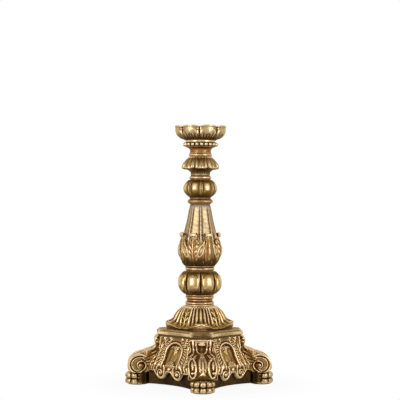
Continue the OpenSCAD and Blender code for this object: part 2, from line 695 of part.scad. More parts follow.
// Outlines of the cup, outside and inside: [height, radius, share of the notches between petals].
cup_outer = [[0, 35], [2.4, 34.4], [4.2, 34.8], [6, 38], [8.2, 44.4], [11, 49.8], [14.5, 54], [18.5, 57.2], [23.5, 59.4],
    [30, 60.4], [35, 60]];
cup_inner = [[35, 56], [28, 55.6], [22, 54], [17, 50], [13, 44], [11.5, 40.5]];
cup_dip_h = 26;        // above this height the rim dips at the notches
cup_notch = 4.6;
cup_lip = 2;           // how far the rounded rim stands in from the petals' outside

function petal_loop(r, share, z, dip = 0) = [for (i = [0:around - 1]) let (
        a = i * 360 / around,
        cut = cup_notch * (1 - lobe(a, petal_n, 0.6)))
    [(r - cut * share) * cos(a), (r - cut * share) * sin(a), z_cup + z - cut * dip]];

module petal_cup() {
    k = cup_r / 60;
    color("goldenrod") difference() {
        rotate(cup_turn) loft(concat(
            [for (p = cup_outer) petal_loop(p[1] * k, max(0, (p[1] - 38) / 22), p[0], p[0] > cup_dip_h ? 0.4 : 0)],
            [petal_loop(cup_r - cup_lip, 1, cup_h, 1)],
            [for (p = cup_inner) petal_loop(p[1] * k, max(0, (p[1] - 44) / 12), p[0], p[0] > cup_dip_h ? 0.4 : 0)]));
        rod_hole(z_cup, cup_h);
        translate([0, 0, cup_seat_z]) cylinder(r = cup_pocket_r, h = cup_h, $fn = 48);
    }
}

module candle_pan() {
    color("khaki") translate([0, 0, pan_z]) {
        cylinder(r = pan_r, h = pan_t, $fn = ring_fn);
        rotate_extrude($fn = ring_fn) translate([pan_r - pan_lip_t, 0]) square([pan_lip_t, pan_lip_h]);
    }
}

// ---- tie rod -------------------------------------------------------------

module tie_rod() {
    color("silver") translate([0, 0, rod_low_z]) cylinder(d = rod_d, h = rod_top_z - rod_low_z, $fn = 48);
}

module nut(z) {
    color("silver") difference() {
        translate([0, 0, z]) cylinder(d = nut_w / cos(30), h = nut_h, $fn = 6);
        translate([0, 0, z - 1]) cylinder(d = rod_d + thread_gap, h = nut_h + 2, $fn = 48);
    }
}

module washer(z) {
    color("silver") difference() {
        translate([0, 0, z]) cylinder(r = washer_r, h = washer_t, $fn = 64);
        translate([0, 0, z - 1]) cylinder(d = rod_d + 4 * thread_gap, h = washer_t + 2, $fn = 48);
    }
}

module top_nut() { nut(cup_seat_z + washer_t); }
module top_washer() { washer(cup_seat_z); }
module bottom_nut() { nut(core_seat_z - washer_t - nut_h); }
module bottom_washer() { washer(core_seat_z - washer_t); }

felt_pads();
paw(0);  // paw_front
paw(1);  // paw_right
paw(2);  // paw_back
paw(3);  // paw_left
plinth();
base_core();
leg(0);  // leg_front
leg(1);  // leg_right
leg(2);  // leg_back
leg(3);  // leg_left
panel(panel_angles[0]);  // panel_front_left
panel(panel_angles[1]);  // panel_front_right
panel(panel_angles[2]);  // panel_back_right
panel(panel_angles[3]);  // panel_back_left
leg_dowels();
paw_screws();
plinth_screws();
top_plate();
shell_dome();
ring_collar();
lower_knop();
vase_ring();
fluted_vase();
leaf(1);  // leaf_1
leaf(2);  // leaf_2
leaf(3);  // leaf_3
leaf(4);  // leaf_4
leaf(5);  // leaf_5
leaf(6);  // leaf_6
leaf(7);  // leaf_7
leaf(8);  // leaf_8
neck_ring();
upper_knop();
spool_ring();
leaf_canopy();
neck_spool();
bead_ring();
petal_cup();
candle_pan();
tie_rod();
top_nut();
top_washer();
bottom_nut();
bottom_washer();
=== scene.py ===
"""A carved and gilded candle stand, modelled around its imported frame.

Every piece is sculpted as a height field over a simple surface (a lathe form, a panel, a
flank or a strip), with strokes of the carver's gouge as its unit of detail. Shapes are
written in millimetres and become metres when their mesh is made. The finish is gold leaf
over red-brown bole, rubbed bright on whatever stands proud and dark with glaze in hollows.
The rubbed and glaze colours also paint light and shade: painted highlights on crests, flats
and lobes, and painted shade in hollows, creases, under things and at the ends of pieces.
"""
import logging
import math
from dataclasses import dataclass
from enum import Enum
from typing import Callable, Iterable, Iterator, Optional, Sequence, Union

import bpy
import numpy as np
from mathutils import Color, Euler, Matrix, Vector


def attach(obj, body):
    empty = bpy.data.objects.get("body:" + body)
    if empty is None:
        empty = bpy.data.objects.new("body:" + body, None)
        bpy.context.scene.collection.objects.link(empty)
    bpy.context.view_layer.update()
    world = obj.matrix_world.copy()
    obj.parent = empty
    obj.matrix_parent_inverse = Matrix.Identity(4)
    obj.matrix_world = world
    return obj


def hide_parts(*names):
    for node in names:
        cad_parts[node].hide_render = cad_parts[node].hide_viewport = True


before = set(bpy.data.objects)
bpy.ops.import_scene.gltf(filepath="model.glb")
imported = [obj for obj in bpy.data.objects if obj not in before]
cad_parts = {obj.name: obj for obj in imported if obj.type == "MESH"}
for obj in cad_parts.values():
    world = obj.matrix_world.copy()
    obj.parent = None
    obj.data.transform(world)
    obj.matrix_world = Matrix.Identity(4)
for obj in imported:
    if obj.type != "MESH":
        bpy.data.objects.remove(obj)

LOG = logging.getLogger("candle_stand")
MM = 0.001                      # metres in a millimetre
BODY = "root"
LEG_SIDES = {"front": -90.0, "right": 0.0, "back": 90.0, "left": 180.0}
PANEL_SIDES = {"front_left": -135.0, "front_right": -45.0, "back_right": 45.0, "back_left": 135.0}
LOBES = 8                       # lobes, flats, leaves and petals round the column
LOBE_STEP = 360.0 / LOBES       # degrees from one to the next

Array = np.ndarray
Point = tuple[float, float]


# ---- Numbers and curves ----

def smooth(lo: float, hi: float, x: Array) -> Array:
    """Ease from 0 at lo to 1 at hi."""
    t = np.clip((np.asarray(x, float) - lo) / (hi - lo), 0.0, 1.0)
    return t * t * (3.0 - 2.0 * t)


def bell(x: Array, width: float) -> Array:
    """Bell curve of height 1, narrow by width."""
    return np.exp(-(np.asarray(x, float) / width) ** 2)


def dome(q: Array) -> Array:
    """Height of a half round at q half-widths from its middle."""
    return np.sqrt(np.clip(1.0 - np.asarray(q, float) ** 2, 0.0, 1.0))


def blend_max(a: Array, b: Array, soft: float) -> Array:
    """The greater of two height fields, with a fillet of about soft between them."""
    h = np.clip(0.5 + 0.5 * (a - b) / soft, 0.0, 1.0)
    return b + (a - b) * h + soft * h * (1.0 - h) * 0.5


def run_along(points: Array) -> Array:
    """Length from the first point to each."""
    return np.r_[0.0, np.cumsum(np.linalg.norm(np.diff(points, axis=0), axis=1))]


def directions(vectors: Array) -> Array:
    """Rows of vectors brought to a length of 1."""
    return vectors / np.maximum(np.linalg.norm(vectors, axis=1, keepdims=True), 1e-12)


def spline(points: Sequence[Sequence[float]], count: int) -> Array:
    """Pass a smooth curve through points.

    Args:
        points: Points of any dimension, in order.
        count: Number of samples, evenly spread along the curve's length.

    Returns:
        An array of count rows.
    """
    p = np.asarray(points, float)
    if len(p) > 2:
        ends = np.vstack([2 * p[0] - p[1], p, 2 * p[-1] - p[-2]])
        t = np.linspace(0, 1, 12, endpoint=False)[:, None]
        spans = [0.5 * (2 * b + (c - a) * t + (2 * a - 5 * b + 4 * c - d) * t ** 2
                        + (3 * b - a - 3 * c + d) * t ** 3)
                 for a, b, c, d in zip(ends, ends[1:], ends[2:], ends[3:])]
        p = np.vstack(spans + [p[-1:]])
    steps = run_along(p)
    at = np.linspace(0.0, steps[-1], count)
    return np.stack([np.interp(at, steps, p[:, k]) for k in range(p.shape[1])], axis=1)


def table(points: Sequence[Point], x: Array) -> Array:
    """Read smoothly off a short table.

    Args:
        points: Pairs of a key and its value, in order of their keys.
        x: Keys to read at. Beyond either end the end's value holds.

    Returns:
        The values at x.
    """
    keys = np.array([p[0] for p in points], float)
    values = np.array([p[1] for p in points], float)
    slopes = np.gradient(values, keys)
    x = np.clip(np.asarray(x, float), keys[0], keys[-1])
    i = np.clip(np.searchsorted(keys, x, side="right") - 1, 0, len(keys) - 2)
    span = keys[i + 1] - keys[i]
    t = (x - keys[i]) / span
    return ((2 * t ** 3 - 3 * t ** 2 + 1) * values[i] + (t ** 3 - 2 * t ** 2 + t) * span * slopes[i]
            + (3 * t ** 2 - 2 * t ** 3) * values[i + 1] + (t ** 3 - t ** 2) * span * slopes[i + 1])


def angle_gap(a: Array, b: float, whole: float = 360.0) -> Array:
    """Signed angle from b to a, in degrees, where every whole degrees are alike."""
    return (np.asarray(a, float) - b + 0.5 * whole) % whole - 0.5 * whole


def lobe_share(bearing: Array, turn: float = 0.0) -> Array:
    """0 in the middle of each lobe of the column and 1 between two."""
    return np.abs(angle_gap(bearing, turn, LOBE_STEP)) / (0.5 * LOBE_STEP)


def bearings(count: int) -> Array:
    """So many bearings, evenly spread round the axis."""
    return np.arange(count) * 360.0 / count


def around_axis(radius: Array, bearing: Array, z: Array) -> Array:
    """Points at a distance from the axis, a bearing in degrees and a height."""
    a = np.radians(bearing)
    return np.stack([radius * np.cos(a), radius * np.sin(a), z], axis=-1)


# ---- Carving ----

class Relief:
    """A height field over flat coordinates, built up from strokes of a gouge."""

    def __init__(self, x: Array, y: Array) -> None:
        """Start flat over the points (x, y), in millimetres."""
        self.x, self.y = np.asarray(x, float), np.asarray(y, float)
        self.height = np.zeros_like(self.x)
        self.hand = np.ones(2)

    def both_hands(self, axis: int = 0) -> Iterator[None]:
        """Have what follows carved twice: mirrored along an axis, and then as it is given.

        Args:
            axis: 0 to mirror x, and 1 to mirror y.

        Yields:
            Nothing, once for each hand.
        """
        for sign in (-1.0, 1.0):
            self.hand[axis] = sign
            yield

    def route(self, points: Sequence[Point], width: Union[float, Sequence[float]]) -> tuple[Array, Array]:
        """Lay out a gouge's way.

        Args:
            points: Points to pass through.
            width: Half-width, or half-widths spread along the way.

        Returns:
            Points close together along the way, and the half-width at each.
        """
        line = spline(points, max(8, 6 * len(points))) * self.hand
        widths = np.atleast_1d(np.asarray(width, float))
        return line, np.interp(np.linspace(0, 1, len(line)), np.linspace(0, 1, len(widths)), widths)

    def near(self, line: Array, widths: Array) -> tuple[Array, Array]:
        """Measure how far points lie from a line, in its own half-widths.

        Args:
            line: Points along the line.
            widths: Half-width at each point.

        Returns:
            Indices of the points in reach, and their distance in half-widths.
        """
        reach = float(widths.max()) * 1.05
        low = line.min(axis=0) - reach
        high = line.max(axis=0) + reach
        inside = ((self.x > low[0]) & (self.x < high[0]) & (self.y > low[1]) & (self.y < high[1]))
        index = np.flatnonzero(inside)
        px = self.x.flat[index]
        py = self.y.flat[index]
        best = np.full(len(index), 9.0)
        for a, b, low_w, high_w in zip(line, line[1:], widths, widths[1:]):
            d = b - a
            t = np.clip(((px - a[0]) * d[0] + (py - a[1]) * d[1]) / max(float(d @ d), 1e-9), 0.0, 1.0)
            w = np.maximum(low_w + (high_w - low_w) * t, 1e-3)
            best = np.minimum(best, np.hypot(px - a[0] - d[0] * t, py - a[1] - d[1] * t) / w)
        return index, best

    def stroke(self, points: Sequence[Point], width: Union[float, Sequence[float]], height: float,
               base: float = 0.0, groove: float = 0.0, soft: float = 0.5) -> None:
        """Raise a rounded ridge along a curve.

        Args:
            points: The curve, as points to pass through.
            width: Half-width, or half-widths spread along the curve.
            height: How high the ridge stands over its base.
            base: Height that the ridge stands on.
            groove: Depth of a vein cut along its middle.
            soft: Size of the fillet where it meets what is there.
        """
        index, q = self.near(*self.route(points, width))
        ridge = base + height * dome(q) - groove * bell(q, 0.22)
        old = self.height.flat[index]
        self.height.flat[index] = np.where(q < 1.0, blend_max(ridge, old, soft), old)

    def cut(self, points: Sequence[Point], width: Union[float, Sequence[float]], depth: float) -> None:
        """Sink a soft groove along a curve, as deep as depth in its middle."""
        index, q = self.near(*self.route(points, width))
        self.height.flat[index] -= depth * (1.0 - smooth(0.0, 1.0, q))

    def boss(self, x: float, y: float, radius: float, height: float, base: float = 0.0,
             long: float = 1.0) -> None:
        """Raise a rounded boss.

        Args:
            x, y: Middle of the boss.
            radius: Half its width.
            height: How high it stands over its base.
            base: Height that it stands on.
            long: Its length along y, as a multiple of its width.
        """
        q = np.hypot(self.x - x * self.hand[0], (self.y - y * self.hand[1]) / long) / radius
        self.height = np.where(q < 1.0, blend_max(base + height * dome(q), self.height, 0.4), self.height)

    def coil(self, x: float, y: float, radius: float, turns: float, start: float, band: float, height: float,
             close: float = 0.16) -> None:
        """Raise a scroll's spiral ridge, which winds anticlockwise.

        Args:
            x, y: Middle of the coil.
            radius: Distance from the middle to the ridge where it starts.
            turns: Number of turns to the eye.
            start: Bearing of its start, in degrees.
            band: Half-width of the ridge at its start.
            height: Height of the ridge at its start.
            close: Share of the start radius that is left at the eye.
        """
        t = np.linspace(0, 1, int(18 * turns) + 2)
        r = radius * (close + (1 - close) * (1 - t) ** 1.15)
        a = np.radians(start + 360.0 * turns * t)
        points = np.stack([x + r * np.cos(a), y + r * np.sin(a)], axis=1)
        self.stroke(points, band * (0.45 + 0.55 * (1 - t)), height, soft=0.3)

    def leaf(self, root: Point, tip: Point, width: float, height: float, lobes: int = 4,
             bend: float = 0.0, base: float = 0.0) -> None:
        """Carve an acanthus leaf as a midrib with pairs of curved lobes.

        Args:
            root: Where the leaf springs.
            tip: Where it ends.
            width: Half-width of the leaf at its widest.
            height: Height of its midrib.
            lobes: Number of lobes on each side.
            bend: Sideways bow of the midrib, in millimetres.
            base: Height that the leaf stands on.
        """
        a, b = np.array(root, float), np.array(tip, float)
        length = float(np.linalg.norm(b - a))
        along = (b - a) / length
        side = np.array([-along[1], along[0]])

        def at(t: float, off: float) -> Point:
            """Point t of the way to the tip, off to one side."""
            p = a + along * length * t + side * (off + bend * math.sin(math.pi * t))
            return float(p[0]), float(p[1])

        for k in range(lobes, 0, -1):
            t = (k - 0.6) / lobes
            reach = width * math.sin(math.pi * min(0.92, 0.22 + 0.72 * t)) ** 0.8
            for off in (-reach, reach):
                lobe = [at(t * 0.80, 0.0), at(t * 0.80 + 0.16, off * 0.55), at(t * 0.82 + 0.20, off)]
                self.stroke(lobe, [width * 0.20, width * 0.26, width * 0.10], height * 0.72, base=base,
                            groove=height * 0.22)
        self.stroke([at(0.0, 0.0), at(0.5, 0.0), at(1.0, 0.0)], [width * 0.22, width * 0.17, width * 0.07],
                    height, base=base, groove=height * 0.12)

    def softened(self, passes: int) -> Array:
        """Wear the carving down.

        Args:
            passes: How many times every point is blended with its neighbours.

        Returns:
            The height at every point.
        """
        for _ in range(passes):
            for axis in (0, 1):
                edge = [(int(axis == 0), int(axis == 0)), (int(axis == 1), int(axis == 1))]
                wide = np.pad(self.height, edge, mode="edge")
                before, after = (wide[:-2], wide[2:]) if axis == 0 else (wide[:, :-2], wide[:, 2:])
                self.height = 0.5 * self.height + 0.25 * (before + after)
        return self.height

    def rope(self, points: Sequence[Point], pitch: float, width: float, height: float, lean: float) -> None:
        """Carve a row of short slanted gadroons along a curve.

        Args:
            points: The curve, as points to pass through.
            pitch: Distance from one gadroon to the next.
            width: Half the length of a gadroon.
            height: How high it stands.
            lean: Its angle from the curve, in degrees.
        """
        length = run_along(spline(points, 200))[-1]
        line = spline(points, max(2, round(length / pitch)) + 1)
        for a, b in zip(line, line[1:]):
            way = math.atan2(b[1] - a[1], b[0] - a[0]) + math.radians(lean)
            half = np.array([math.cos(way), math.sin(way)]) * width
            self.stroke([(a + b) / 2 - half, (a + b) / 2 + half], [pitch * 0.30, pitch * 0.42], height,
                        soft=0.3)


# ---- Surfaces and meshes ----

@dataclass
class Surface:
    """A closed skin: points in millimetres, and its faces as rows of point numbers."""

    points: Array
    quads: Array
    tris: Array
    carving: Optional[dict[str, Array]] = None

    def turned(self, degrees: float) -> "Surface":
        """This skin turned about the stand's axis."""
        turn = np.array(Matrix.Rotation(math.radians(degrees), 3, "Z"))
        return Surface(self.points @ turn.T, self.quads, self.tris, self.carving)

    def measured(self) -> "Surface":
        """This skin with its carving measured, so that turned copies share it."""
        self.carving = carving_of(self.points, self.corners())
        return self

    def toned(self, **tones: Array) -> "Surface":
        """This skin with painted shade and painted highlight tones for its finish, each a value from 0 to 1
        at every point.
        """
        if self.carving is None:
            self.measured()
        self.carving.update({name: np.clip(values, 0.0, 1.0) for name, values in tones.items()})
        return self

    def polar(self) -> tuple[Array, Array, Array]:
        """Bearing in degrees, distance from the axis and height of every point."""
        x, y, z = self.points.T
        return np.degrees(np.arctan2(y, x)), np.hypot(x, y), z

    def corners(self) -> Array:
        """All faces as triangles."""
        q = self.quads
        return np.vstack([q[:, [0, 1, 2]], q[:, [0, 2, 3]], self.tris]) if len(q) else self.tris

    def outward(self) -> "Surface":
        """This skin with its faces turned to point outwards."""
        t = self.points[self.corners()]
        volume = np.einsum("ij,ij->i", t[:, 0], np.cross(t[:, 1], t[:, 2])).sum()
        if volume >= 0:
            return self
        return Surface(self.points, self.quads[:, ::-1], self.tris[:, ::-1])

    def welded(self, step: float = 0.004) -> "Surface":
        """Make points that lie together one.

        Args:
            step: Size of the grid that points are matched on, in millimetres.

        Returns:
            This skin without doubled points, and without the faces that vanish.
        """
        keys = np.round(self.points / step).astype(np.int64)
        _, first, back = np.unique(keys, axis=0, return_index=True, return_inverse=True)
        back = back.reshape(-1)
        quads = back[self.quads]
        tris = back[self.tris] if len(self.tris) else np.zeros((0, 3), int)
        same = (quads == np.roll(quads, 1, axis=1))
        whole = same.sum(axis=1) == 0
        three = same.sum(axis=1) == 1
        extra = [row[~dup] for row, dup in zip(quads[three], same[three])]
        tris = np.vstack([tris] + ([np.array(extra)] if extra else []))
        ok = (tris[:, 0] != tris[:, 1]) & (tris[:, 1] != tris[:, 2]) & (tris[:, 0] != tris[:, 2])
        return Surface(self.points[first], quads[whole], tris[ok])


def skin_of(grid: Array, around: bool = True, caps: bool = True) -> Surface:
    """Cover a grid of points with faces.

    Args:
        grid: Points, as rows of rings.
        around: Whether each ring closes on itself.
        caps: Whether the first and last rings are closed by a fan to their middle.

    Returns:
        The skin, facing outwards.
    """
    rows, cols = grid.shape[:2]
    number = np.arange(rows * cols).reshape(rows, cols)
    nxt = np.roll(number, -1, axis=1) if around else number[:, 1:]
    now = number if around else number[:, :-1]
    quads = np.stack([now[:-1], nxt[:-1], nxt[1:], now[1:]], axis=-1).reshape(-1, 4)
    points = grid.reshape(-1, 3)
    tris = np.zeros((0, 3), int)
    if caps:
        low, high = len(points), len(points) + 1
        points = np.vstack([points, grid[0].mean(axis=0), grid[-1].mean(axis=0)])
        first = np.stack([nxt[0], now[0], np.full(now.shape[1], low)], axis=1)
        last = np.stack([now[-1], nxt[-1], np.full(now.shape[1], high)], axis=1)
        tris = np.vstack([first, last])
    return Surface(points, quads, tris).outward()


FINE_PASSES = 10
BROAD_PASSES = 70


def carving_of(points: Array, faces: Array) -> dict[str, Array]:
    """Measure how proud or sunk each point is, as the finish reads it.

    Args:
        points: Points of a mesh, in millimetres.
        faces: Its triangles.

    Returns:
        For each attribute's name a value at each point: "carve_fine" and
        "carve_broad" are its height over the smoothed surface, in millimetres,
        and "face_up" is how far it faces upwards.
    """
    count = len(points)
    pairs = np.vstack([faces[:, [0, 1]], faces[:, [1, 2]], faces[:, [2, 0]]])
    pairs = np.unique(np.sort(pairs, axis=1), axis=0)
    a, b = pairs[:, 0], pairs[:, 1]
    degree = np.maximum(np.bincount(a, minlength=count) + np.bincount(b, minlength=count), 1)
    t = points[faces]
    face_normals = np.cross(t[:, 1] - t[:, 0], t[:, 2] - t[:, 0])
    normals = np.zeros_like(points)
    for k in range(3):
        for corner in range(3):
            normals[:, k] += np.bincount(faces[:, corner], face_normals[:, k], count)
    normals = directions(normals)
    values = {"face_up": normals[:, 2]}
    soft = points.copy()
    for done in range(1, BROAD_PASSES + 1):
        for k in range(3):
            total = (np.bincount(a, soft[b, k], count) + np.bincount(b, soft[a, k], count))
            soft[:, k] = 0.4 * soft[:, k] + 0.6 * total / degree
        if done in (FINE_PASSES, BROAD_PASSES):
            name = "carve_fine" if done == FINE_PASSES else "carve_broad"
            values[name] = ((points - soft) * normals).sum(axis=1)
    return values


def write_carving(mesh: bpy.types.Mesh, carving: dict[str, Array]) -> None:
    """Store carving on a mesh, as attributes of its points.

    Args:
        mesh: The mesh.
        carving: For each attribute's name a value at each point.
    """
    for name, values in carving.items():
        layer = mesh.attributes.new(name, "FLOAT", "POINT")
        layer.data.foreach_set("value", values.astype(np.float32))


def mesh_points(mesh: bpy.types.Mesh) -> tuple[Array, Array]:
    """Read a mesh.

    Args:
        mesh: The mesh, in metres.

    Returns:
        Its points, in millimetres, and its triangles.
    """
    flat = np.empty(len(mesh.vertices) * 3, np.float32)
    mesh.vertices.foreach_get("co", flat)
    mesh.calc_loop_triangles()
    tris = np.empty(len(mesh.loop_triangles) * 3, np.int32)
    mesh.loop_triangles.foreach_get("vertices", tris)
    return flat.reshape(-1, 3).astype(float) / MM, tris.reshape(-1, 3)


def place(name: str, skin: Surface, material: bpy.types.Material, slot: str,
          nodes: Sequence[str] = ()) -> bpy.types.Object:
    """Make a piece of the stand from a skin.

    Args:
        name: Name of the piece.
        skin: Its surface, in millimetres.
        material: Its finish.
        slot: Material slot of the record that it stands for.
        nodes: Frame nodes that it takes the place of.

    Returns:
        The new object.
    """
    mesh = bpy.data.meshes.new(name)
    quads, tris = skin.quads, skin.tris
    mesh.vertices.add(len(skin.points))
    mesh.vertices.foreach_set("co", (skin.points * MM).astype(np.float32).ravel())
    mesh.loops.add(quads.size + tris.size)
    mesh.loops.foreach_set("vertex_index", np.concatenate([quads.ravel(), tris.ravel()]).astype(np.int32))
    mesh.polygons.add(len(quads) + len(tris))
    starts = np.concatenate([np.arange(len(quads)) * 4, quads.size + np.arange(len(tris)) * 3])
    mesh.polygons.foreach_set("loop_start", starts.astype(np.int32))
    mesh.polygons.foreach_set("use_smooth", np.ones(len(quads) + len(tris), bool))
    mesh.update(calc_edges=True)
    mesh.validate()
    write_carving(mesh, skin.carving or carving_of(skin.points, skin.corners()))
    mesh.materials.append(material)
    piece = bpy.data.objects.new(name, mesh)
    bpy.context.scene.collection.objects.link(piece)
    return enrol(piece, slot, nodes)


def enrol(piece: bpy.types.Object, slot: str, nodes: Sequence[str]) -> bpy.types.Object:
    """Tie a finished piece to the frame and report it.

    Args:
        piece: The piece.
        slot: Material slot of the record that it stands for; not used.
        nodes: Frame nodes that it takes the place of.

    Returns:
        The piece.
    """
    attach(piece, BODY)
    if nodes:
        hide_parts(*nodes)
    LOG.info("%s: %d faces for %s", piece.name, len(piece.data.polygons), ", ".join(nodes) or "no node")
    return piece


def lathe(outline: Array, around: int, relief: Callable[[Array, Array, Array], Array], base_z: float,
          flare: Optional[Callable[[Array, Array], Array]] = None) -> Surface:
    """Turn an outline about the axis and carve it.

    Args:
        outline: Points as (radius, height), from the foot up.
        around: Number of points around.
        relief: Gives the carving's height from (bearing in degrees, height, radius).
        base_z: Height of the outline's zero.
        flare: Gives an upward shift from (bearing, height), for wavy rims.

    Returns:
        The carved skin, closed at both ends.
    """
    r, z = outline[:, 0], outline[:, 1]
    tangent = directions(np.gradient(outline, axis=0))
    out_r, out_z = tangent[:, 1], -tangent[:, 0]
    b, zz = np.meshgrid(bearings(around), z)
    rr = np.repeat(r[:, None], around, axis=1)
    h = relief(b, zz, rr)
    rad = rr + h * out_r[:, None]
    up = zz + h * out_z[:, None]
    if flare is not None:
        up = up + flare(b, zz)
    return skin_of(around_axis(rad, b, up + base_z))


def plain(bearing: Array, height: Array, radius: Array) -> Array:
    """A faint unevenness, as a hand-turned and gessoed surface has."""
    return 0.12 * np.sin(np.radians(bearing * 3 + height * 4.0)) * np.sin(height * 0.5 + 1.0)


# ---- Node graphs ----

Value = Union["Sock", float, int, Sequence[float], bpy.types.Material]


class Sock:
    """An output in a node graph that ordinary arithmetic builds on."""

    def __init__(self, graph: "Graph", socket: bpy.types.NodeSocket) -> None:
        """Stand for one output socket."""
        self.graph = graph
        self.socket = socket

    def __add__(self, other: Value) -> "Sock":
        """Sum."""
        return self.graph.math("ADD", self, other)

    def __sub__(self, other: Value) -> "Sock":
        """Difference."""
        return self.graph.math("SUBTRACT", self, other)

    def __rsub__(self, other: Value) -> "Sock":
        """Difference from a number."""
        return self.graph.math("SUBTRACT", other, self)

    def __mul__(self, other: Value) -> "Sock":
        """Product."""
        return self.graph.math("MULTIPLY", self, other)

    def __truediv__(self, other: Value) -> "Sock":
        """Quotient."""
        return self.graph.math("DIVIDE", self, other)

    def __pow__(self, other: Value) -> "Sock":
        """Power."""
        return self.graph.math("POWER", self, other)

    __radd__ = __add__
    __rmul__ = __mul__

    def between(self, low: float = 0.0, high: float = 1.0) -> "Sock":
        """This value held between two limits."""
        return self.graph.math("MINIMUM", self.graph.math("MAXIMUM", self, low), high)

    def root(self) -> "Sock":
        """Square root of this value, or of 0 where it is less."""
        return self.graph.math("SQRT", self.graph.math("MAXIMUM", self, 0.0))


class Graph:
    """A node tree under construction."""

    def __init__(self, tree: bpy.types.NodeTree) -> None:
        """Build in tree."""
        self.tree = tree

    def node(self, kind: str, settings: Optional[dict] = None, inputs: Optional[dict] = None,
             output: Union[int, str] = 0) -> Sock:
        """Add a node: its settings first, then its values and links.

        Args:
            kind: Node type.
            settings: Properties to set. "ramp" takes (position, colour) stops.
            inputs: Values or sockets by input name, identifier or number.
            output: Name or number of the output to return.

        Returns:
            The chosen output.
        """
        made = self.tree.nodes.new(kind)
        for key, value in (settings or {}).items():
            if key == "ramp":
                stops = made.color_ramp.elements
                while len(stops) < len(value):
                    stops.new(1.0)
                for stop, (position, colour) in zip(stops, value):
                    stop.position = position
                    stop.color = colour
            else:
                setattr(made, key, value)
        for key, value in (inputs or {}).items():
            socket = self.find(made.inputs, key)
            if isinstance(value, Sock):
                self.tree.links.new(value.socket, socket)
            else:
                socket.default_value = value
        return Sock(self, self.find(made.outputs, output)) if len(made.outputs) else Sock(self, None)

    @staticmethod
    def find(sockets: Iterable[bpy.types.NodeSocket], key: Union[int, str]) -> bpy.types.NodeSocket:
        """Find a socket.

        Args:
            sockets: Inputs or outputs of a node.
            key: Number, identifier or name of the socket.

        Returns:
            The socket.
        """
        if isinstance(key, int):
            return sockets[key]
        for name in ("identifier", "name"):
            for socket in sockets:
                if socket.enabled and getattr(socket, name) == key:
                    return socket
        raise KeyError(key)

    def math(self, kind: str, a: Value, b: Value = 0.0) -> Sock:
        """Work out one step of arithmetic."""
        return self.node("ShaderNodeMath", {"operation": kind}, {0: a, 1: b})

    def ease(self, value: Sock, low: float, high: float, out_low: Value = 0.0, out_high: Value = 1.0) -> Sock:
        """Ease from out_low to out_high as value goes from low to high."""
        return self.node("ShaderNodeMapRange", {"interpolation_type": "SMOOTHSTEP"},
                         {"Value": value, "From Min": low, "From Max": high, "To Min": out_low,
                          "To Max": out_high})

    def blend(self, share: Value, a: Value, b: Value) -> Sock:
        """Colour a, or b where share is 1."""
        return self.node("ShaderNodeMix", {"data_type": "RGBA"},
                         {"Factor_Float": share, "A_Color": a, "B_Color": b}, "Result_Color")

    def vector(self, x: Value = 0.0, y: Value = 0.0, z: Value = 0.0) -> Sock:
        """A vector of three values."""
        return self.node("ShaderNodeCombineXYZ", None, {"X": x, "Y": y, "Z": z})

    def parts_of(self, vector: Sock) -> tuple[Sock, ...]:
        """The three values of a vector."""
        first = self.node("ShaderNodeSeparateXYZ", None, {0: vector})
        return tuple(Sock(self, out) for out in first.socket.node.outputs)


class ShaderGraph(Graph):
    """The nodes of one material, over the object's own coordinates in millimetres."""

    def __init__(self, name: str) -> None:
        """Start a material called name."""
        self.material = bpy.data.materials.new(name)
        self.material.use_nodes = True
        super().__init__(self.material.node_tree)
        self.tree.nodes.clear()
        metres = self.node("ShaderNodeTexCoord", output="Object")
        self.place = self.node("ShaderNodeVectorMath", {"operation": "SCALE"}, {0: metres, "Scale": 1.0 / MM})

    def attribute(self, name: str) -> Sock:
        """Read a value that the mesh carries at its points."""
        return self.node("ShaderNodeAttribute", {"attribute_name": name}, output="Fac")

    def noise(self, size: float, detail: float = 3.0, stretch: Sequence[float] = (1.0, 1.0, 1.0),
              rough: float = 0.55) -> Sock:
        """Make noise.

        Args:
            size: Width of its features, in millimetres.
            detail: Number of finer layers.
            stretch: Scale along x, y and z.
            rough: Strength of the finer layers.

        Returns:
            Noise from 0 to 1.
        """
        at = self.node("ShaderNodeVectorMath", {"operation": "MULTIPLY"}, {0: self.place, 1: stretch})
        return self.node("ShaderNodeTexNoise", None,
                         {"Vector": at, "Scale": 1.0 / size, "Detail": detail, "Roughness": rough})

    def bump(self, height: Sock, strength: float, distance: float) -> Sock:
        """A normal roughened by height, distance in millimetres."""
        return self.node("ShaderNodeBump", None, {"Strength": strength, "Distance": distance * MM,
                                                  "Height": height})

    def surface(self, inputs: dict) -> bpy.types.Material:
        """Finish the material.

        Args:
            inputs: Values or sockets of its principled surface, by name.

        Returns:
            The material.
        """
        shader = self.node("ShaderNodeBsdfPrincipled", None, inputs)
        self.node("ShaderNodeOutputMaterial", None, {"Surface": shader})
        return self.material


Colour = tuple[float, float, float, float]


def palette(*codes: int) -> list[Colour]:
    """Colours from their screen values, each written as 0xRRGGBB."""
    screen = (Color([(code >> shift & 255) / 255.0 for shift in (16, 8, 0)]) for code in codes)
    return [(*colour.from_srgb_to_scene_linear(), 1.0) for colour in screen]


DUST = palette(0x8A7668)[0]


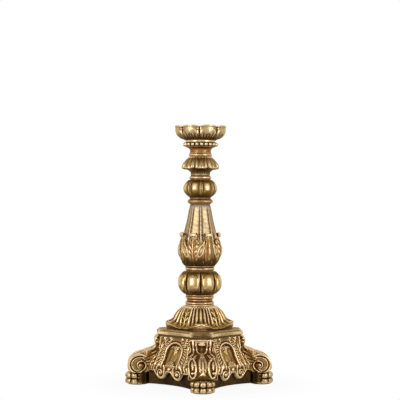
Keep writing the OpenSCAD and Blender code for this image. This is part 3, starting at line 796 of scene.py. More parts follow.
@dataclass(frozen=True)
class GiltFinish:
    """Antiqued gold leaf over bole: its colours, wear and gloss, and the painted highlights and shade that
    its colours also give.

    Attributes:
        name: Name of the material.
        leaf: Gold leaf as laid.
        rubbed_and_highlight: Leaf rubbed bright on whatever stands proud, and the colour of painted
            highlights.
        bole: Red-brown ground that shows through.
        moss: Greenish toning in broad patches.
        glaze_and_shade: Dark glaze left in the hollows, and the colour of painted shade.
        bole_share: How much of the leaf is worn to the bole, from 0 to 1.
        rub: How readily proud carving is rubbed bright and painted with highlights.
        depth: How readily hollows hold glaze and painted shade.
        gloss: Roughness of the leaf.
        mottle: How strongly small olive patches show, from 0 to 1.
        tooth: Depth of the fine unevenness of the gesso, in millimetres.
    """

    name: str
    leaf: Colour
    rubbed_and_highlight: Colour
    bole: Colour
    moss: Colour
    glaze_and_shade: Colour
    bole_share: float = 0.35
    rub: float = 1.0
    depth: float = 1.0
    gloss: float = 0.27
    mottle: float = 0.4
    tooth: float = 0.35

    def material(self) -> bpy.types.Material:
        """Make the material."""
        g = ShaderGraph(self.name)
        fine, broad, up = (g.attribute(n) for n in ("carve_fine", "carve_broad", "face_up"))
        clouds, spots, grain = g.noise(30.0, 3.0), g.noise(7.0, 5.0, rough=0.62), g.noise(1.1, 3.0)
        brush = g.noise(2.2, 3.0, (1.0, 1.0, 0.35))
        # Proud carving takes the rubbed colour as wear and as a painted highlight on its crests; the
        # highlight tones that pieces carry add painted highlights where they are given.
        proud = g.ease(fine * 2.2 + broad * 0.3 + (spots - 0.5) * 0.9, 0.25, 1.05 / self.rub)
        patchy = g.ease(clouds * 0.5 + spots * 0.5, 0.36, 0.5, 0.62, 1.0)
        proud = g.math("MAXIMUM", proud, g.attribute("polish") * patchy)
        # Glaze held in hollows, which also paints the shade that falls in them.
        hollow = g.ease(fine * -2.2 + broad * -0.5 + (spots - 0.5) * 0.5, 0.0, 1.0 / self.depth) * 0.85
        worn = g.ease(clouds * 0.45 + spots * 0.7 - fine * 0.25, 0.66 - 0.3 * self.bole_share,
                      0.78 - 0.2 * self.bole_share)
        mossy = g.ease(g.noise(12.0, 3.0) + spots * 0.2, 0.54, 0.68)
        colour = g.blend(mossy * 0.7, self.leaf, self.moss)
        colour = g.blend(worn * 0.75, colour, self.bole)
        colour = g.blend(proud * 0.85, colour, self.rubbed_and_highlight)
        colour = g.blend(g.ease(g.noise(4.4, 3.0, rough=0.6), 0.52, 0.64) * self.mottle, colour, self.moss)
        dust = g.ease(up, 0.75, 1.0) * 0.45
        # Painted shade on faces that turn downwards.
        under = g.ease(up, -0.2, -0.85) * 0.6
        colour = g.blend(dust, colour, DUST)
        # Painted shade: hollows, downward faces and the shade tones that pieces carry all take the glaze
        # colour.
        sunk = g.math("MAXIMUM", g.math("MAXIMUM", hollow, under), g.attribute("shade"))
        colour = g.blend(sunk, colour, self.glaze_and_shade)
        rough = (sunk * 0.34 + worn * 0.12 + grain * 0.16 + dust * 0.3 - proud * 0.05
                 + (self.gloss - 0.05)).between(0.12, 0.9)
        metal = (1.0 - worn * 0.15 - dust * 0.6).between()
        return g.surface({
            "Base Color": colour, "Metallic": metal, "Roughness": rough,
            "Normal": g.bump(grain * 0.5 + brush * 0.7 + spots * 0.6, 0.55, self.tooth),
            "Specular IOR Level": 0.12, "Specular Tint": (1.0, 0.86, 0.6, 1.0),
        })


@dataclass(frozen=True)
class PlainFinish:
    """A simple material with a grain: wood, metal or felt.

    Attributes:
        name: Name of the material.
        light, dark: The two colours that its grain runs between.
        grain: Size of its grain, in millimetres.
        stretch: How the grain is drawn out along x, y and z.
        metal: How metallic it is, from 0 to 1.
        gloss: Roughness.
        relief: Depth of its grain, in millimetres.
        shine: Strength of its plain reflection.
    """

    name: str
    light: Colour
    dark: Colour
    grain: float
    stretch: tuple[float, float, float] = (1.0, 1.0, 1.0)
    metal: float = 0.0
    gloss: float = 0.5
    relief: float = 0.1
    shine: float = 0.5

    def material(self) -> bpy.types.Material:
        """Make the material."""
        g = ShaderGraph(self.name)
        fibres = g.noise(self.grain, 5.0, self.stretch, 0.65)
        clouds = g.noise(self.grain * 9.0, 2.0)
        share = g.ease(fibres * 0.7 + clouds * 0.45, 0.35, 0.8)
        rough = (fibres * 0.25 + (self.gloss - 0.12)).between(0.1, 1.0)
        return g.surface({"Base Color": g.blend(share, self.dark, self.light), "Metallic": self.metal,
                          "Roughness": rough, "Specular IOR Level": self.shine,
                          "Normal": g.bump(fibres, 0.5, self.relief)})


# ---- The base ----

@dataclass
class Part:
    """A sub-assembly that makes its own pieces.

    Attributes:
        finish: Material of its pieces.
        slot: The record's slot for that material.
    """

    finish: bpy.types.Material
    slot: str = "gilt_dark"

    def put(self, name: str, skin: Surface, *nodes: str) -> bpy.types.Object:
        """Place one piece that stands for some frame nodes."""
        return place(name, skin, self.finish, self.slot, nodes)

    def put_four(self, kind: str, skin: Surface, sides: dict[str, float]) -> None:
        """Place a carved piece on each side, with the side's name and bearing."""
        for side, bearing in sides.items():
            self.put(f"carved_{kind}_{side}", skin.turned(bearing), f"{kind}_{side}")

    def build(self) -> None:
        """Make the pieces."""
        raise NotImplementedError


@dataclass
class Paws(Part):
    """Four lion's paws: a drum and a heel, and five toes with knuckles and claws."""

    reach: float = 144.0
    low: float = 1.5
    top: float = 28.0
    drum: float = 21.5
    heel: float = 29.5
    heel_half: float = 20.8
    toe_step: float = 36.0
    toes: tuple[int, ...] = (-2, -1, 0, 1, 2)
    knuckle: tuple[float, float, float] = (20.5, 20.0, 8.0)
    claw: tuple[float, float, float] = (19.7, 7.4, 8.7)
    outer: float = 28.4
    rows: int = 56
    around: int = 220

    def toe(self, bearing: Array, z: Array, ball: tuple[float, float, float], centre: float) -> Array:
        """Measure how far out a ball of a toe reaches.

        Args:
            bearing, z: Where to measure, in degrees and as a height.
            ball: Distance of its middle from the paw's axis, its height and its radius.
            centre: Bearing of the toe.

        Returns:
            Distance of the ball's outside from the paw's axis, or 0 where it isn't met.
        """
        out, mid, radius = ball
        side = np.radians(angle_gap(bearing, centre))
        slice_r = np.sqrt(np.clip(radius ** 2 - (z - mid) ** 2, 0.0, None))
        under = slice_r ** 2 - (out * np.sin(side)) ** 2
        hit = (under > 0) & (np.cos(side) > 0)
        return np.where(hit, out * np.cos(side) + np.sqrt(np.clip(under, 0, None)), 0.0)

    def skin(self) -> Surface:
        """One paw, about the stand's +X side."""
        t = np.linspace(0.0, 1.0, self.rows)
        b, z = np.meshgrid(bearings(self.around), self.low + (self.top - self.low) * t)
        shoulder = np.clip((z - self.top + 5.0) / 5.0, 0.0, 1.0)
        ease_top = np.sqrt(1.0 - 0.85 * shoulder ** 2)
        r = self.drum * (0.72 + 0.28 * ease_top) * (0.97 + 0.03 * np.sin(z * 0.9))
        back = np.cos(np.radians(b - 180.0))
        flank = np.abs(np.sin(np.radians(b)))
        box = np.minimum(self.heel / np.maximum(back, 1e-3), self.heel_half / np.maximum(flank, 1e-3))
        heel = np.where(back > 0, box, 0.0) * (1.0 - 0.1 * smooth(self.top - 5.0, self.top, z))
        behind = smooth(95, 120, np.abs(angle_gap(b, 0.0)))
        tufts = 0.7 * np.abs(np.sin(np.radians(b * 9.0) + 0.35 * z)) * behind
        r = np.maximum(r, heel - 1.0 + tufts)
        below_top = smooth(self.top, self.top - 5.0, z)
        for k in self.toes:
            centre = k * self.toe_step
            near = angle_gap(b, centre)
            for ball in (self.knuckle, self.claw):
                r = blend_max(self.toe(b, z, ball, centre), r, 0.5)
            nail = bell(near, 3.4) * bell(z - 5.0, 3.4) * 1.1
            crease = bell(z - 14.2, 1.2) * bell(near, 12.0)
            cleft = 1.2 * bell(angle_gap(b, centre + self.toe_step / 2), 2.6) * below_top
            r = r + nail - crease - cleft
        skin = skin_of(around_axis(np.minimum(r, self.outer), b, z) + np.array([self.reach, 0.0, 0.0]))
        # Painted shade on the heel side, nearer the stand's axis, where the skirt shades it.
        return skin.toned(shade=0.95 * smooth(self.reach - 2.0, self.reach - 13.0, skin.points[:, 0]))

    def build(self) -> None:
        """Make the four paws."""
        self.put_four("paw", self.skin(), LEG_SIDES)


FRONT_LINE = ((101, 112), (103.6, 107), (104.6, 101.5), (103.4, 96), (102.8, 91), (107, 86.6), (119, 81.2),
              (130.5, 76.7), (142, 72.4), (153, 67.2), (160.5, 61.4), (164.8, 54), (166.2, 45),
              (164.6, 36.5), (160, 31), (152, 28.3))


@dataclass
class ScrollLegs(Part):
    """Four scroll legs: acanthus down the front, and a coil with a wing of leaves on each flank."""

    inner: float = 60.0
    low: float = 31.1
    foot: float = 28.3
    half: float = 22.0
    flare: float = 8.0
    volute: Point = (136.5, 45.0)
    core: Point = (76.0, 70.0)
    edge: float = 2.0
    front_rows: int = 215
    front_columns: int = 68
    flank_columns: int = 43
    coil_radii: tuple[Point, ...] = ((-0.12, 27.2), (0, 27.5), (0.25, 29), (0.38, 24.5), (0.5, 17.6),
                                     (0.75, 14.5), (1, 12.6), (1.25, 10.4), (1.5, 8), (1.75, 6))

    def outline(self) -> tuple[Array, Array, Array]:
        """Go round the leg.

        Returns:
            Points round it, the core point behind each, and how far each lies along its front.
        """
        front = spline(FRONT_LINE, self.front_rows)
        run = run_along(front)
        upper = front[:int(0.58 * self.front_rows), 0]
        steps = int(np.argmin(np.abs(upper - self.volute[0]))) + 1
        core = spline([self.core, (106, 60), self.volute], steps)
        under = spline([(151.0, self.foot), (self.volute[0], self.foot)], 12)
        back_x = np.linspace(self.volute[0], self.inner, steps)
        step_up = smooth(124.0, 117.0, back_x)
        lower = np.stack([back_x, self.foot + (self.low - self.foot) * step_up], axis=1)
        rear = spline([(self.inner, self.low), (self.inner, 112.0), (101.0, 112.0)], 50)
        points = np.vstack([front, under[:-1], lower, rear[1:-1]])
        cores = np.vstack([core, np.repeat(core[-1:], len(front) - steps + len(under) - 1, axis=0),
                           core[::-1], np.repeat(core[:1], len(rear) - 2, axis=0)])
        runs = np.r_[run, np.full(len(points) - len(run), 999.0)]
        return points, cores, runs

    def width(self, x: Array, z: Array) -> Array:
        """Work out half the leg's width, which flares beyond the panels towards the volute.

        Args:
            x, z: Distance from the stand's axis, and height.

        Returns:
            Half the width there.
        """
        f = np.clip((112.0 - z) / 62.0, 0.0, 1.0)
        panel = (77.0 + 26.0 * f ** 1.9) * math.sqrt(2.0) - 22.1
        return self.half + self.flare * smooth(2.0, 21.0, x - panel)

    def coil_point(self, turn: float, inset: float) -> Point:
        """Find a point of the coil.

        Args:
            turn: Number of turns from its top.
            inset: Distance inwards from its edge.

        Returns:
            The point, as a distance from the stand's axis and a height.
        """
        a = math.radians(90.0 - 360.0 * turn)
        r = float(table(self.coil_radii, np.array([turn]))[0]) - inset
        return self.volute[0] + r * math.cos(a), self.volute[1] + r * math.sin(a)

    def flank(self, x: Array, z: Array) -> Array:
        """Carve a flank: the coil, its eye, a wing of leaves and a curl under the plate.

        Args:
            x, z: Distances from the stand's axis, and heights.

        Returns:
            Height of the carving over the plain form.
        """
        cut = Relief(x, z)
        wing = (((130, 66), (122, 72), (113, 78), (106, 84)), ((130, 62), (120, 67), (110, 72), (101, 78)),
                ((128, 58), (118, 61), (109, 65), (101, 71)), ((124, 54), (116, 55), (109, 58), (103, 63)),
                ((120, 48), (114, 48), (109, 51), (105, 55)))
        for line in wing:
            cut.stroke(line, (1.6, 3, 3.4, 1.2), 2.4, groove=0.5)
        cut.stroke([(128, 73), (117, 78.5), (108, 83.5), (104, 89)], (1.2, 1.8, 2, 2.2), 1.6)
        turns = np.linspace(-0.1, 1.78, 44)
        lead = [(103.2, 95.0), (105.5, 87.5), (113.0, 82.2), (122.0, 78.3)]
        cut.cut([self.coil_point(t, 6) for t in turns[2:-8]], (2.6, 2.6, 2), 1.8)
        cut.stroke(lead + [self.coil_point(t, 2.6) for t in turns], (1.4, 2.4, 2.8, 2.8, 2.4, 1.8, 1.4), 3,
                   soft=0.8)
        cut.stroke([self.coil_point(t, 8.6) for t in turns[:24]], (0.9, 1.4, 1.4, 1), 1.5)
        cut.boss(self.volute[0], self.volute[1], 5.2, 4.2)
        cut.coil(97.5, 100, 6.4, 1.2, 60, 2.2, 2.2)
        cut.boss(97.5, 100, 2.6, 2.4)
        return cut.softened(2)

    def strip(self, s: Array, y: Array) -> Array:
        """Carve the front: scrolls, drops and leaves.

        Args:
            s, y: Distances along the front from the plate, and across it.

        Returns:
            Height of the carving over the plain form.
        """
        cut = Relief(s, y)
        ends = smooth(128.0, 119.0, s)
        cut.height -= 3.6 * ends
        a = np.linspace(-math.pi / 2, 1.5 * math.pi, 17)
        swell = 0.62 + 0.38 * np.sin(a / 2 + 0.3) ** 2
        for hand in (-1.0, 1.0):
            cut.stroke([(-2, hand * 19.6), (14, hand * 19.4), (27, hand * 18.2), (40, hand * 19.8)],
                       (3, 2.6, 2.2, 1.6), 2.8, base=-1.6)
            cut.stroke([(-2, hand * 12.8), (10, hand * 13), (22, hand * 11.5), (33, hand * 5),
                        (38, hand * 1.2)], (1.1, 1.3, 1.3, 1.1), 1.8, base=-1.8)
            cut.stroke([(40, hand * 12), (52, hand * 17.5), (66, hand * 19.5)], (1.2, 2.8, 1.4), 2.2,
                       base=-1.8)
            cut.stroke([(36, hand * 19), (48, hand * 24), (58, hand * 27)], (1.6, 2.6, 1.6), 2, base=-1.6)
            loop = np.stack([88 + 29 * np.sin(a), hand * 20.6 + 9.2 * np.cos(a) * swell], axis=1)
            cut.cut([(62, hand * 21), (88, hand * 21), (113, hand * 21)], (4, 8, 8, 5), 1.6)
            cut.stroke(loop, 1.9, 3, base=-1.8)
            cut.stroke([(70, hand * 21), (84, hand * 21), (98, hand * 21.2)], (1.5, 3.6, 1.2), 2.4,
                       base=-2.6, groove=0.5)
            cut.boss(105, hand * 21.4, 3.6, 3, base=-2.6)
            cut.stroke([(36, hand * 2.2), (60, hand * 4.6), (84, hand * 6.4), (104, hand * 4.8)],
                       (1.2, 2.2, 2.6, 1.2), 2.4, base=-2.4)
            cut.cut([(17, hand * 3.4), (20, hand * 4.2), (24, hand * 4.4)], (1.8, 2.6, 1.8), 2.2)
        arch = [(4 + 5.5 * (1 - math.sin(a)), 12.8 * math.cos(a)) for a in np.linspace(0.0, math.pi, 13)]
        cut.stroke(arch, 1.2, 1.9, base=-1.8)
        cut.stroke([(30, 0), (60, 0), (96, 0)], (1.4, 2, 2.4), 3, base=-2.4)
        cut.leaf((88, 0), (117, 0), 6, 3, lobes=2, base=-2)
        cut.leaf((16, 0), (4.5, 0), 8.5, 3.2, lobes=3, base=-2.2)
        return cut.softened(2) * smooth(129.5, 124.0, s)

    def skin(self) -> Surface:
        """One leg, about the stand's +X side."""
        points, cores, runs = self.outline()
        tangent = np.roll(points, -1, axis=0) - np.roll(points, 1, axis=0)
        for _ in range(3):
            tangent = (tangent + np.roll(tangent, 1, axis=0) + np.roll(tangent, -1, axis=0)) / 3.0
        tangent = directions(tangent)
        normal = np.stack([-tangent[:, 1], tangent[:, 0]], axis=1)
        rim = points - self.edge * normal
        share = np.linspace(0.0, 1.0, self.flank_columns)[:, None]
        fx = cores[:, 0] + (rim[:, 0] - cores[:, 0]) * share
        fz = cores[:, 1] + (rim[:, 1] - cores[:, 1]) * share
        fy = self.width(fx, fz) + self.flank(fx, fz)
        over = np.sin(np.linspace(1.0, -1.0, self.front_columns)[1:-1] * math.pi / 2)[:, None]
        sy = over * fy[-1]
        s = np.repeat(runs[None, :], len(over), axis=0)
        lift = self.strip(s, sy * 30.0 / np.maximum(fy[-1], 30.0))
        near = np.clip((np.abs(sy) - fy[-1] + self.edge * 1.6) / (self.edge * 1.6), 0.0, 1.0)
        lift = lift * (1.0 - near) - self.edge * (1.0 - np.sqrt(1.0 - near ** 2))
        sx = points[:, 0] + lift * normal[:, 0]
        sz = points[:, 1] + lift * normal[:, 1]
        flank = np.stack([fx, fy, fz], axis=-1)
        front = np.stack([sx, sy, sz], axis=-1)
        mirror = flank[::-1] * np.array([1.0, -1.0, 1.0])
        return skin_of(np.concatenate([flank, front, mirror]), caps=False).welded().outward().measured()

    def build(self) -> None:
        """Make the four legs."""
        self.put_four("leg", self.skin(), LEG_SIDES)


@dataclass
class Panels(Part):
    """Four panels between the legs: an arched cartouche over a scrolled skirt."""

    top: float = 112.0
    top_d: float = 77.0
    skirt_d: float = 103.0
    turn_z: float = 50.0
    leg_half: float = 22.1
    columns: int = 210
    rows: int = 150
    lobe_e: float = 26.6
    lobe_w: float = 19.0
    end_z: float = 34.0
    low_z: float = 17.5
    core_z: float = 31.1

    def face(self, z: Array, k: Array) -> Array:
        """Lay out the face.

        Args:
            z: Heights.
            k: Places across the panel, from -1 to 1.

        Returns:
            Distance of the face from the stand's axis.
        """
        f = np.clip((self.top - z) / (self.top - self.turn_z), 0.0, 1.0)
        tuck = 2.0 * np.clip((self.turn_z - z) / (self.turn_z - self.low_z), 0.0, None) ** 1.5
        bow = k * k * (5.5 * (1.0 - f) - 2.5 * f)
        return self.top_d + (self.skirt_d - self.top_d) * f ** 1.9 - tuck + bow

    def skirt(self, e: Array) -> Array:
        """Height of the skirt's lower edge at e across the panel."""
        u = np.clip((np.abs(e) - self.lobe_e) / self.lobe_w, -1.0, 1.0)
        return self.end_z - (self.end_z - self.low_z) * np.cos(u * math.pi / 2) ** 0.8

    def field_half(self, z: Array, grow: float = 0.0) -> Array:
        """Half the width of the arched field at height z."""
        arch = (25.0 + grow) * dome((z - 78.0) / (22.0 + grow))
        return np.where(z > 78.0, arch, 24.0 + grow + (z - 45.0) / 33.0)

    def carve(self, e: Array, z: Array) -> Array:
        """Carve the face: a framed field, borders, acanthus and the skirt's coils.

        Args:
            e, z: Distances across the panel, and heights.

        Returns:
            Height of the carving over the plain form.
        """
        cut = Relief(e, z)
        inside = self.field_half(z) - np.abs(e)
        cut.height -= 3.0 * smooth(-0.5, 3.5, inside) * smooth(40.0, 47.0, z) * smooth(101.0, 97.0, z)
        rows = np.array([45.0, 53.0, 61.0, 69.0, 77.0, 83.0, 89.0, 94.0, 97.6])

        def beside_field(grow: float, top: float, count: int) -> list[Point]:
            """Points of a line that keeps grow away from the field, no higher on it than top."""
            held = np.minimum(rows[:count], top)
            return list(zip(self.field_half(held, grow), rows[:count]))

        for _ in cut.both_hands():
            cut.stroke(beside_field(0, 97.6, 9) + [(0, 100.4)], (2, 2.8, 3, 2.8), 3.2)
            cut.stroke(beside_field(4.4, 95, 7), 0.9, 1.1)
            cut.stroke(beside_field(12.6, 95, 7), 1.2, 1.6)
            band = beside_field(8.4, 94.0, 8)
            cut.rope([band[0], band[2], band[4], band[6], (19, 103.5)], 5.6, 3, 2.4, lean=55)
            cut.stroke([(3, 85), (8, 91.5), (14.5, 88)], (1.2, 2.6, 0.9), 2, base=-2.9)
            cut.leaf((30, 92), (36, 111), 5.5, 2.4, lobes=3, bend=1.2)
            cut.leaf((15, 103), (20, 111), 4, 1.9, lobes=2)
            cut.leaf((46, 43), (39.4, 99), 7.5, 2.9, lobes=5, bend=-1.2)
            cut.leaf((60, 39), (50.5, 74), 7, 2.4, lobes=3, bend=-2)
            cut.stroke([(46.5, 112), (46.8, 100), (49, 84)], (2.6, 2.4, 1), 1.9)
            cut.coil(self.lobe_e, 33, 12.2, 1.55, 168, 2.8, 3.6, close=0.2)
            cut.boss(self.lobe_e, 33, 3.8, 4.4)
            cut.stroke([(14.5, 36), (13.5, 44), (17, 50)], (2.6, 2.2, 1.6), 3)
            cut.stroke([(39.5, 37), (38, 45), (31, 52), (27, 58)], (2.8, 2.4, 2, 1.2), 3)
            for e0 in (49.5, 56.5, 63.0):
                cut.stroke([(e0, 37.5), (e0 - 1.5, 43), (e0 - 4, 49)], (2.2, 2.6, 1), 2.4, groove=0.4)
        cut.stroke([(0, 56), (0, 68), (0, 80)], (8, 10, 6), 1.8, base=-2.9, soft=0.8)
        cut.leaf((0, 76), (0, 95), 7.5, 2.4, lobes=3, base=-2.4)
        for lean in range(-72, 73, 18):
            way = np.array([math.sin(math.radians(lean)), math.cos(math.radians(lean))])
            far = 17.0 - 3.5 * (abs(lean) / 72.0)
            cut.stroke([(0, 42) + 5 * way, (0, 42) + far * way], (0.9, 2.5), 2.8, base=-2.2, soft=0.3)
        cut.boss(0, 41.5, 5, 3.2)
        cut.boss(0, 34, 3.4, 2.6, long=1.4)
        rim = np.linspace(-64.0, 64.0, 61)
        cut.stroke(np.stack([rim, self.skirt(rim) + 2.4], axis=1), 2.3, 2.8)
        return 1.1 * cut.softened(2)

    def skin(self) -> Surface:
        """One panel, about the stand's +X side."""
        k = np.linspace(-1.0, 1.0, self.columns)[None, :]
        leg = self.leg_half * math.sqrt(2.0)
        low = self.skirt(k * (self.skirt_d - leg))
        t = (np.linspace(0.0, 1.0, self.rows) ** 1.08)[:, None]
        z = low + (self.top - low) * t
        kk = np.repeat(k, self.rows, axis=0)
        d = self.face(z, kk)
        e = kk * (d - leg)
        slope = np.gradient(d, axis=0) / np.gradient(z, axis=0)
        long = np.sqrt(1.0 + slope ** 2)
        fade = smooth(0.0, 0.02, t) * smooth(1.0, 0.985, t) * smooth(1.0, 0.985, np.abs(kk))
        h = self.carve(e, z) * fade
        lower_round = -2.0 * (1.0 - np.sqrt(1.0 - np.clip(1.0 - (z - low) / 2.0, 0.0, 1.0) ** 2))
        face = np.stack([d + (h + lower_round) / long, e, z - h * slope / long * smooth(0.0, 0.1, t)],
                        axis=-1)

        def line(dist: float, height: Array) -> Array:
            """One row of the back, at a distance and height."""
            return np.stack([np.full_like(k, dist), k * (dist - leg), np.broadcast_to(height, k.shape)],
                            axis=-1)

        inner = self.skirt_d - 8.5
        back = [line(66.1, self.top), line(84.1, self.core_z), line(inner - 2.0, self.core_z),
                line(inner, np.minimum(self.core_z - 0.1, low + 1.0)), line(inner + 3.0, low)]
        return skin_of(np.concatenate([face] + back).transpose(1, 0, 2)).measured()

    def build(self) -> None:
        """Make the four panels."""
        self.put_four("panel", self.skin(), PANEL_SIDES)


@dataclass
class TopPlate(Part):
    """The plate over the base, with canted corners over the legs and hollow sides."""

    base_z: float = 112.0
    reach: float = 98.8
    cant: float = 24.5
    hollow: float = 5.5
    around: int = 480
    steps: tuple[Point, ...] = ((0, 4.2), (3.8, 4.2), (4.4, 3.2), (4.8, 0.9), (5.4, 0.2), (6.2, 0),
                                (10.9, 0), (11.7, 0.5), (12.2, 1.6), (13.6, 2.2), (14.3, 3),
                                (15.3, 4.2), (16, 6), (16, 24), (16, 60))

    def radius(self, bearing: Array, inset: Array) -> Array:
        """Lay out the plate's edge.

        Args:
            bearing: Bearings, in degrees.
            inset: How far the edge is drawn in.

        Returns:
            Distance of the edge from the stand's axis.
        """
        reach, cant = self.reach - inset, self.cant - 0.4 * inset
        half_chord = (reach - cant) / math.sqrt(2.0)
        side_r = (half_chord ** 2 + self.hollow ** 2) / (2.0 * self.hollow)
        far = (reach + cant) / math.sqrt(2.0) - self.hollow + side_r
        to_leg = np.radians(angle_gap(bearing, 0.0, 90.0))
        to_side = np.radians(angle_gap(bearing, 45.0, 90.0))
        canted = reach / np.cos(to_leg)
        under = np.clip(side_r ** 2 - (far * np.sin(to_side)) ** 2, 0.0, None)
        side = far * np.cos(to_side) - np.sqrt(under)
        return -blend_max(-canted, -side, 1.6)

    def build(self) -> None:
        """Make the plate."""
        rows = []
        for (z0, i0), (z1, i1) in zip(self.steps, self.steps[1:]):
            t = np.linspace(0, 1, min(max(3, int(math.hypot(z1 - z0, i1 - i0))), 16), endpoint=False)
            rows += [(z0 + (z1 - z0) * q, i0 + (i1 - i0) * q) for q in t]
        rows = np.array(rows + [self.steps[-1]])
        b, z = np.meshgrid(bearings(self.around), rows[:, 0])
        inset = np.repeat(rows[:, 1:], self.around, axis=1)
        uneven = 0.18 * np.sin(np.radians(b * 11) + z) * np.sin(np.radians(b * 4)) * (inset < 20)
        r = self.radius(b, inset) + uneven
        skin = skin_of(around_axis(r, b, z + self.base_z))
        bearing, _, up = skin.polar()
        to_leg, h = np.abs(angle_gap(bearing, 0.0, 90.0)), up - self.base_z
        # Painted shade on the canted corners and along the plate's lower edge, and a painted highlight on the
        # hollow sides beside each cant.
        edge = smooth(12.6, 11.4, h) * smooth(4.0, 5.4, h)
        dark = np.maximum(0.6 * edge * smooth(14.6, 13.0, to_leg), 0.9 * smooth(4.6, 3.6, h))
        bright = edge * smooth(14.4, 16.0, to_leg) * (1.0 - 0.6 * smooth(20.0, 38.0, to_leg))
        self.put("moulded_plate", skin.toned(shade=dark, polish=bright), "top_plate")


DOME_CORNER = ((0, 76), (3, 77.2), (8, 78.8), (13, 79), (16.6, 77.6), (18.6, 71), (22, 64), (26, 60),
               (31, 57.5), (36, 54.5), (40, 51.3), (45, 45.8), (49, 41), (53, 35.5))
DOME_MIDDLE = ((0, 57), (1, 59), (3, 60.2), (6, 60), (8.4, 58.2), (10, 55.2), (13, 53.5), (18, 52),
               (24, 50), (30, 47.5), (36, 45), (42, 42), (48, 38.5), (53, 35.5))


@dataclass
class ShellFoot(Part):
    """The foot of the column: a shell fanning over each leg, leaves between, and upturned corners."""

    base_z: float = 128.0
    rise: float = 72.0
    per_degree: float = 0.88
    rows: int = 112
    around: int = 512

    def build(self) -> None:
        """Make the foot."""
        dense = []
        for outline in (DOME_MIDDLE, DOME_CORNER):
            keys = np.linspace(0, 1, len(outline))
            fine = spline([(k * 100.0, *p) for k, p in zip(keys, outline)], 800)
            at = np.linspace(0, 100, self.rows)
            dense.append([np.interp(at, fine[:, 0], fine[:, k])[:, None] for k in (1, 2)])
        bearing = bearings(self.around)
        share = np.clip((np.cos(np.radians(4 * bearing)) + 1) / 2, 0, 1)[None, :] ** 2.2
        z, r = (middle + (corner - middle) * share for middle, corner in zip(*dense))
        x, y = np.meshgrid(angle_gap(bearing, 0.0, 90.0) * self.per_degree,
                           np.linspace(0.0, self.rise, self.rows))
        h = self.carve(x, y) * smooth(self.rise, self.rise - 2.5, y)
        dr, dz = np.gradient(r, axis=0), np.gradient(z, axis=0)
        long = np.maximum(np.hypot(dr, dz), 1e-6)
        grid = around_axis(r + h * dz / long, bearing[None, :] + 0.0 * r, z - h * dr / long + self.base_z)
        self.put("shell_foot", skin_of(grid), "shell_dome")

    def carve(self, x: Array, y: Array) -> Array:
        """Carve a shell over each leg, leaves between them and the lip.

        Args:
            x, y: Distances from the nearest leg's bearing, and up from the lip.

        Returns:
            Height of the carving over the plain form.
        """
        cut = Relief(x, y)
        gap = np.abs(x) / self.per_degree
        turn = np.abs(gap / 10.0 - np.round(gap / 10.0)) * 2.0
        grow = smooth(23.0, 31.0, y + 3.0 * (1.0 - turn)) * smooth(self.rise, self.rise - 3.0, y)
        fan = smooth(34.0, 32.5, gap)
        cut.height += grow * (fan * (2.2 * (1.0 - turn) ** 1.6 - 1.6 * smooth(0.2, 1.0, turn)) - (1.0 - fan))
        for k in range(-2, 2):
            middle = (k + 0.5) * 13.2
            scallop = [(middle - 6.4, 31.0), (middle - 4.0, 26.5), (middle, 24.6), (middle + 4.0, 26.5),
                       (middle + 6.4, 31.0)]
            cut.stroke(scallop, 1.2, 1.5, base=-0.6)
        for _ in cut.both_hands():
            cut.stroke([(24, 69), (26, 52), (28.6, 38), (30.5, 27)], (1.2, 2.2, 2.8, 2.4), 2.6, base=-0.4)
            cut.leaf((39.6, 25), (39.6, 66), 10.5, 3, lobes=3, base=-1.2)
            cut.coil(30.5, 31, 4.2, 1.2, 90, 1.5, 1.6)
            cut.cut([(5.5, 21), (11, 22.5), (16, 20)], (2, 3.4, 1.6), 1.4)
            cut.cut([(22, 20), (28, 17)], (1.8, 2.6), 1.1)
            cut.stroke([(1.5, 22), (8, 16.5), (17, 17), (25, 13), (36, 12)], (1.4, 1.8, 1.8, 1.4), 1)
        cut.boss(0, 21, 3.4, 1.3)
        return 0.95 * cut.softened(3)


# ---- The column ----

def round_points(r: float, z: float, radius: float, start: float, end: float) -> list[Point]:
    """Points of a round moulding about (r, z), from one angle to another."""
    angles = np.radians(np.linspace(start, end, 11))
    return list(zip(r + radius * np.cos(angles), z + radius * np.sin(angles)))


def resampled(points: Sequence[Point], step: float) -> Array:
    """Fill in a turned outline.

    Args:
        points: The outline, as pairs of radius and height.
        step: Greatest distance from one point to the next.

    Returns:
        The outline with points between, in rows.
    """
    rows = [np.array(points[0], float)[None]]
    for a, b in zip(points, points[1:]):
        count = max(1, int(math.ceil(math.dist(a, b) / step)))
        t = np.linspace(0, 1, count + 1)[1:, None]
        rows.append(np.array(a) + (np.array(b) - np.array(a)) * t)
    return np.vstack(rows)


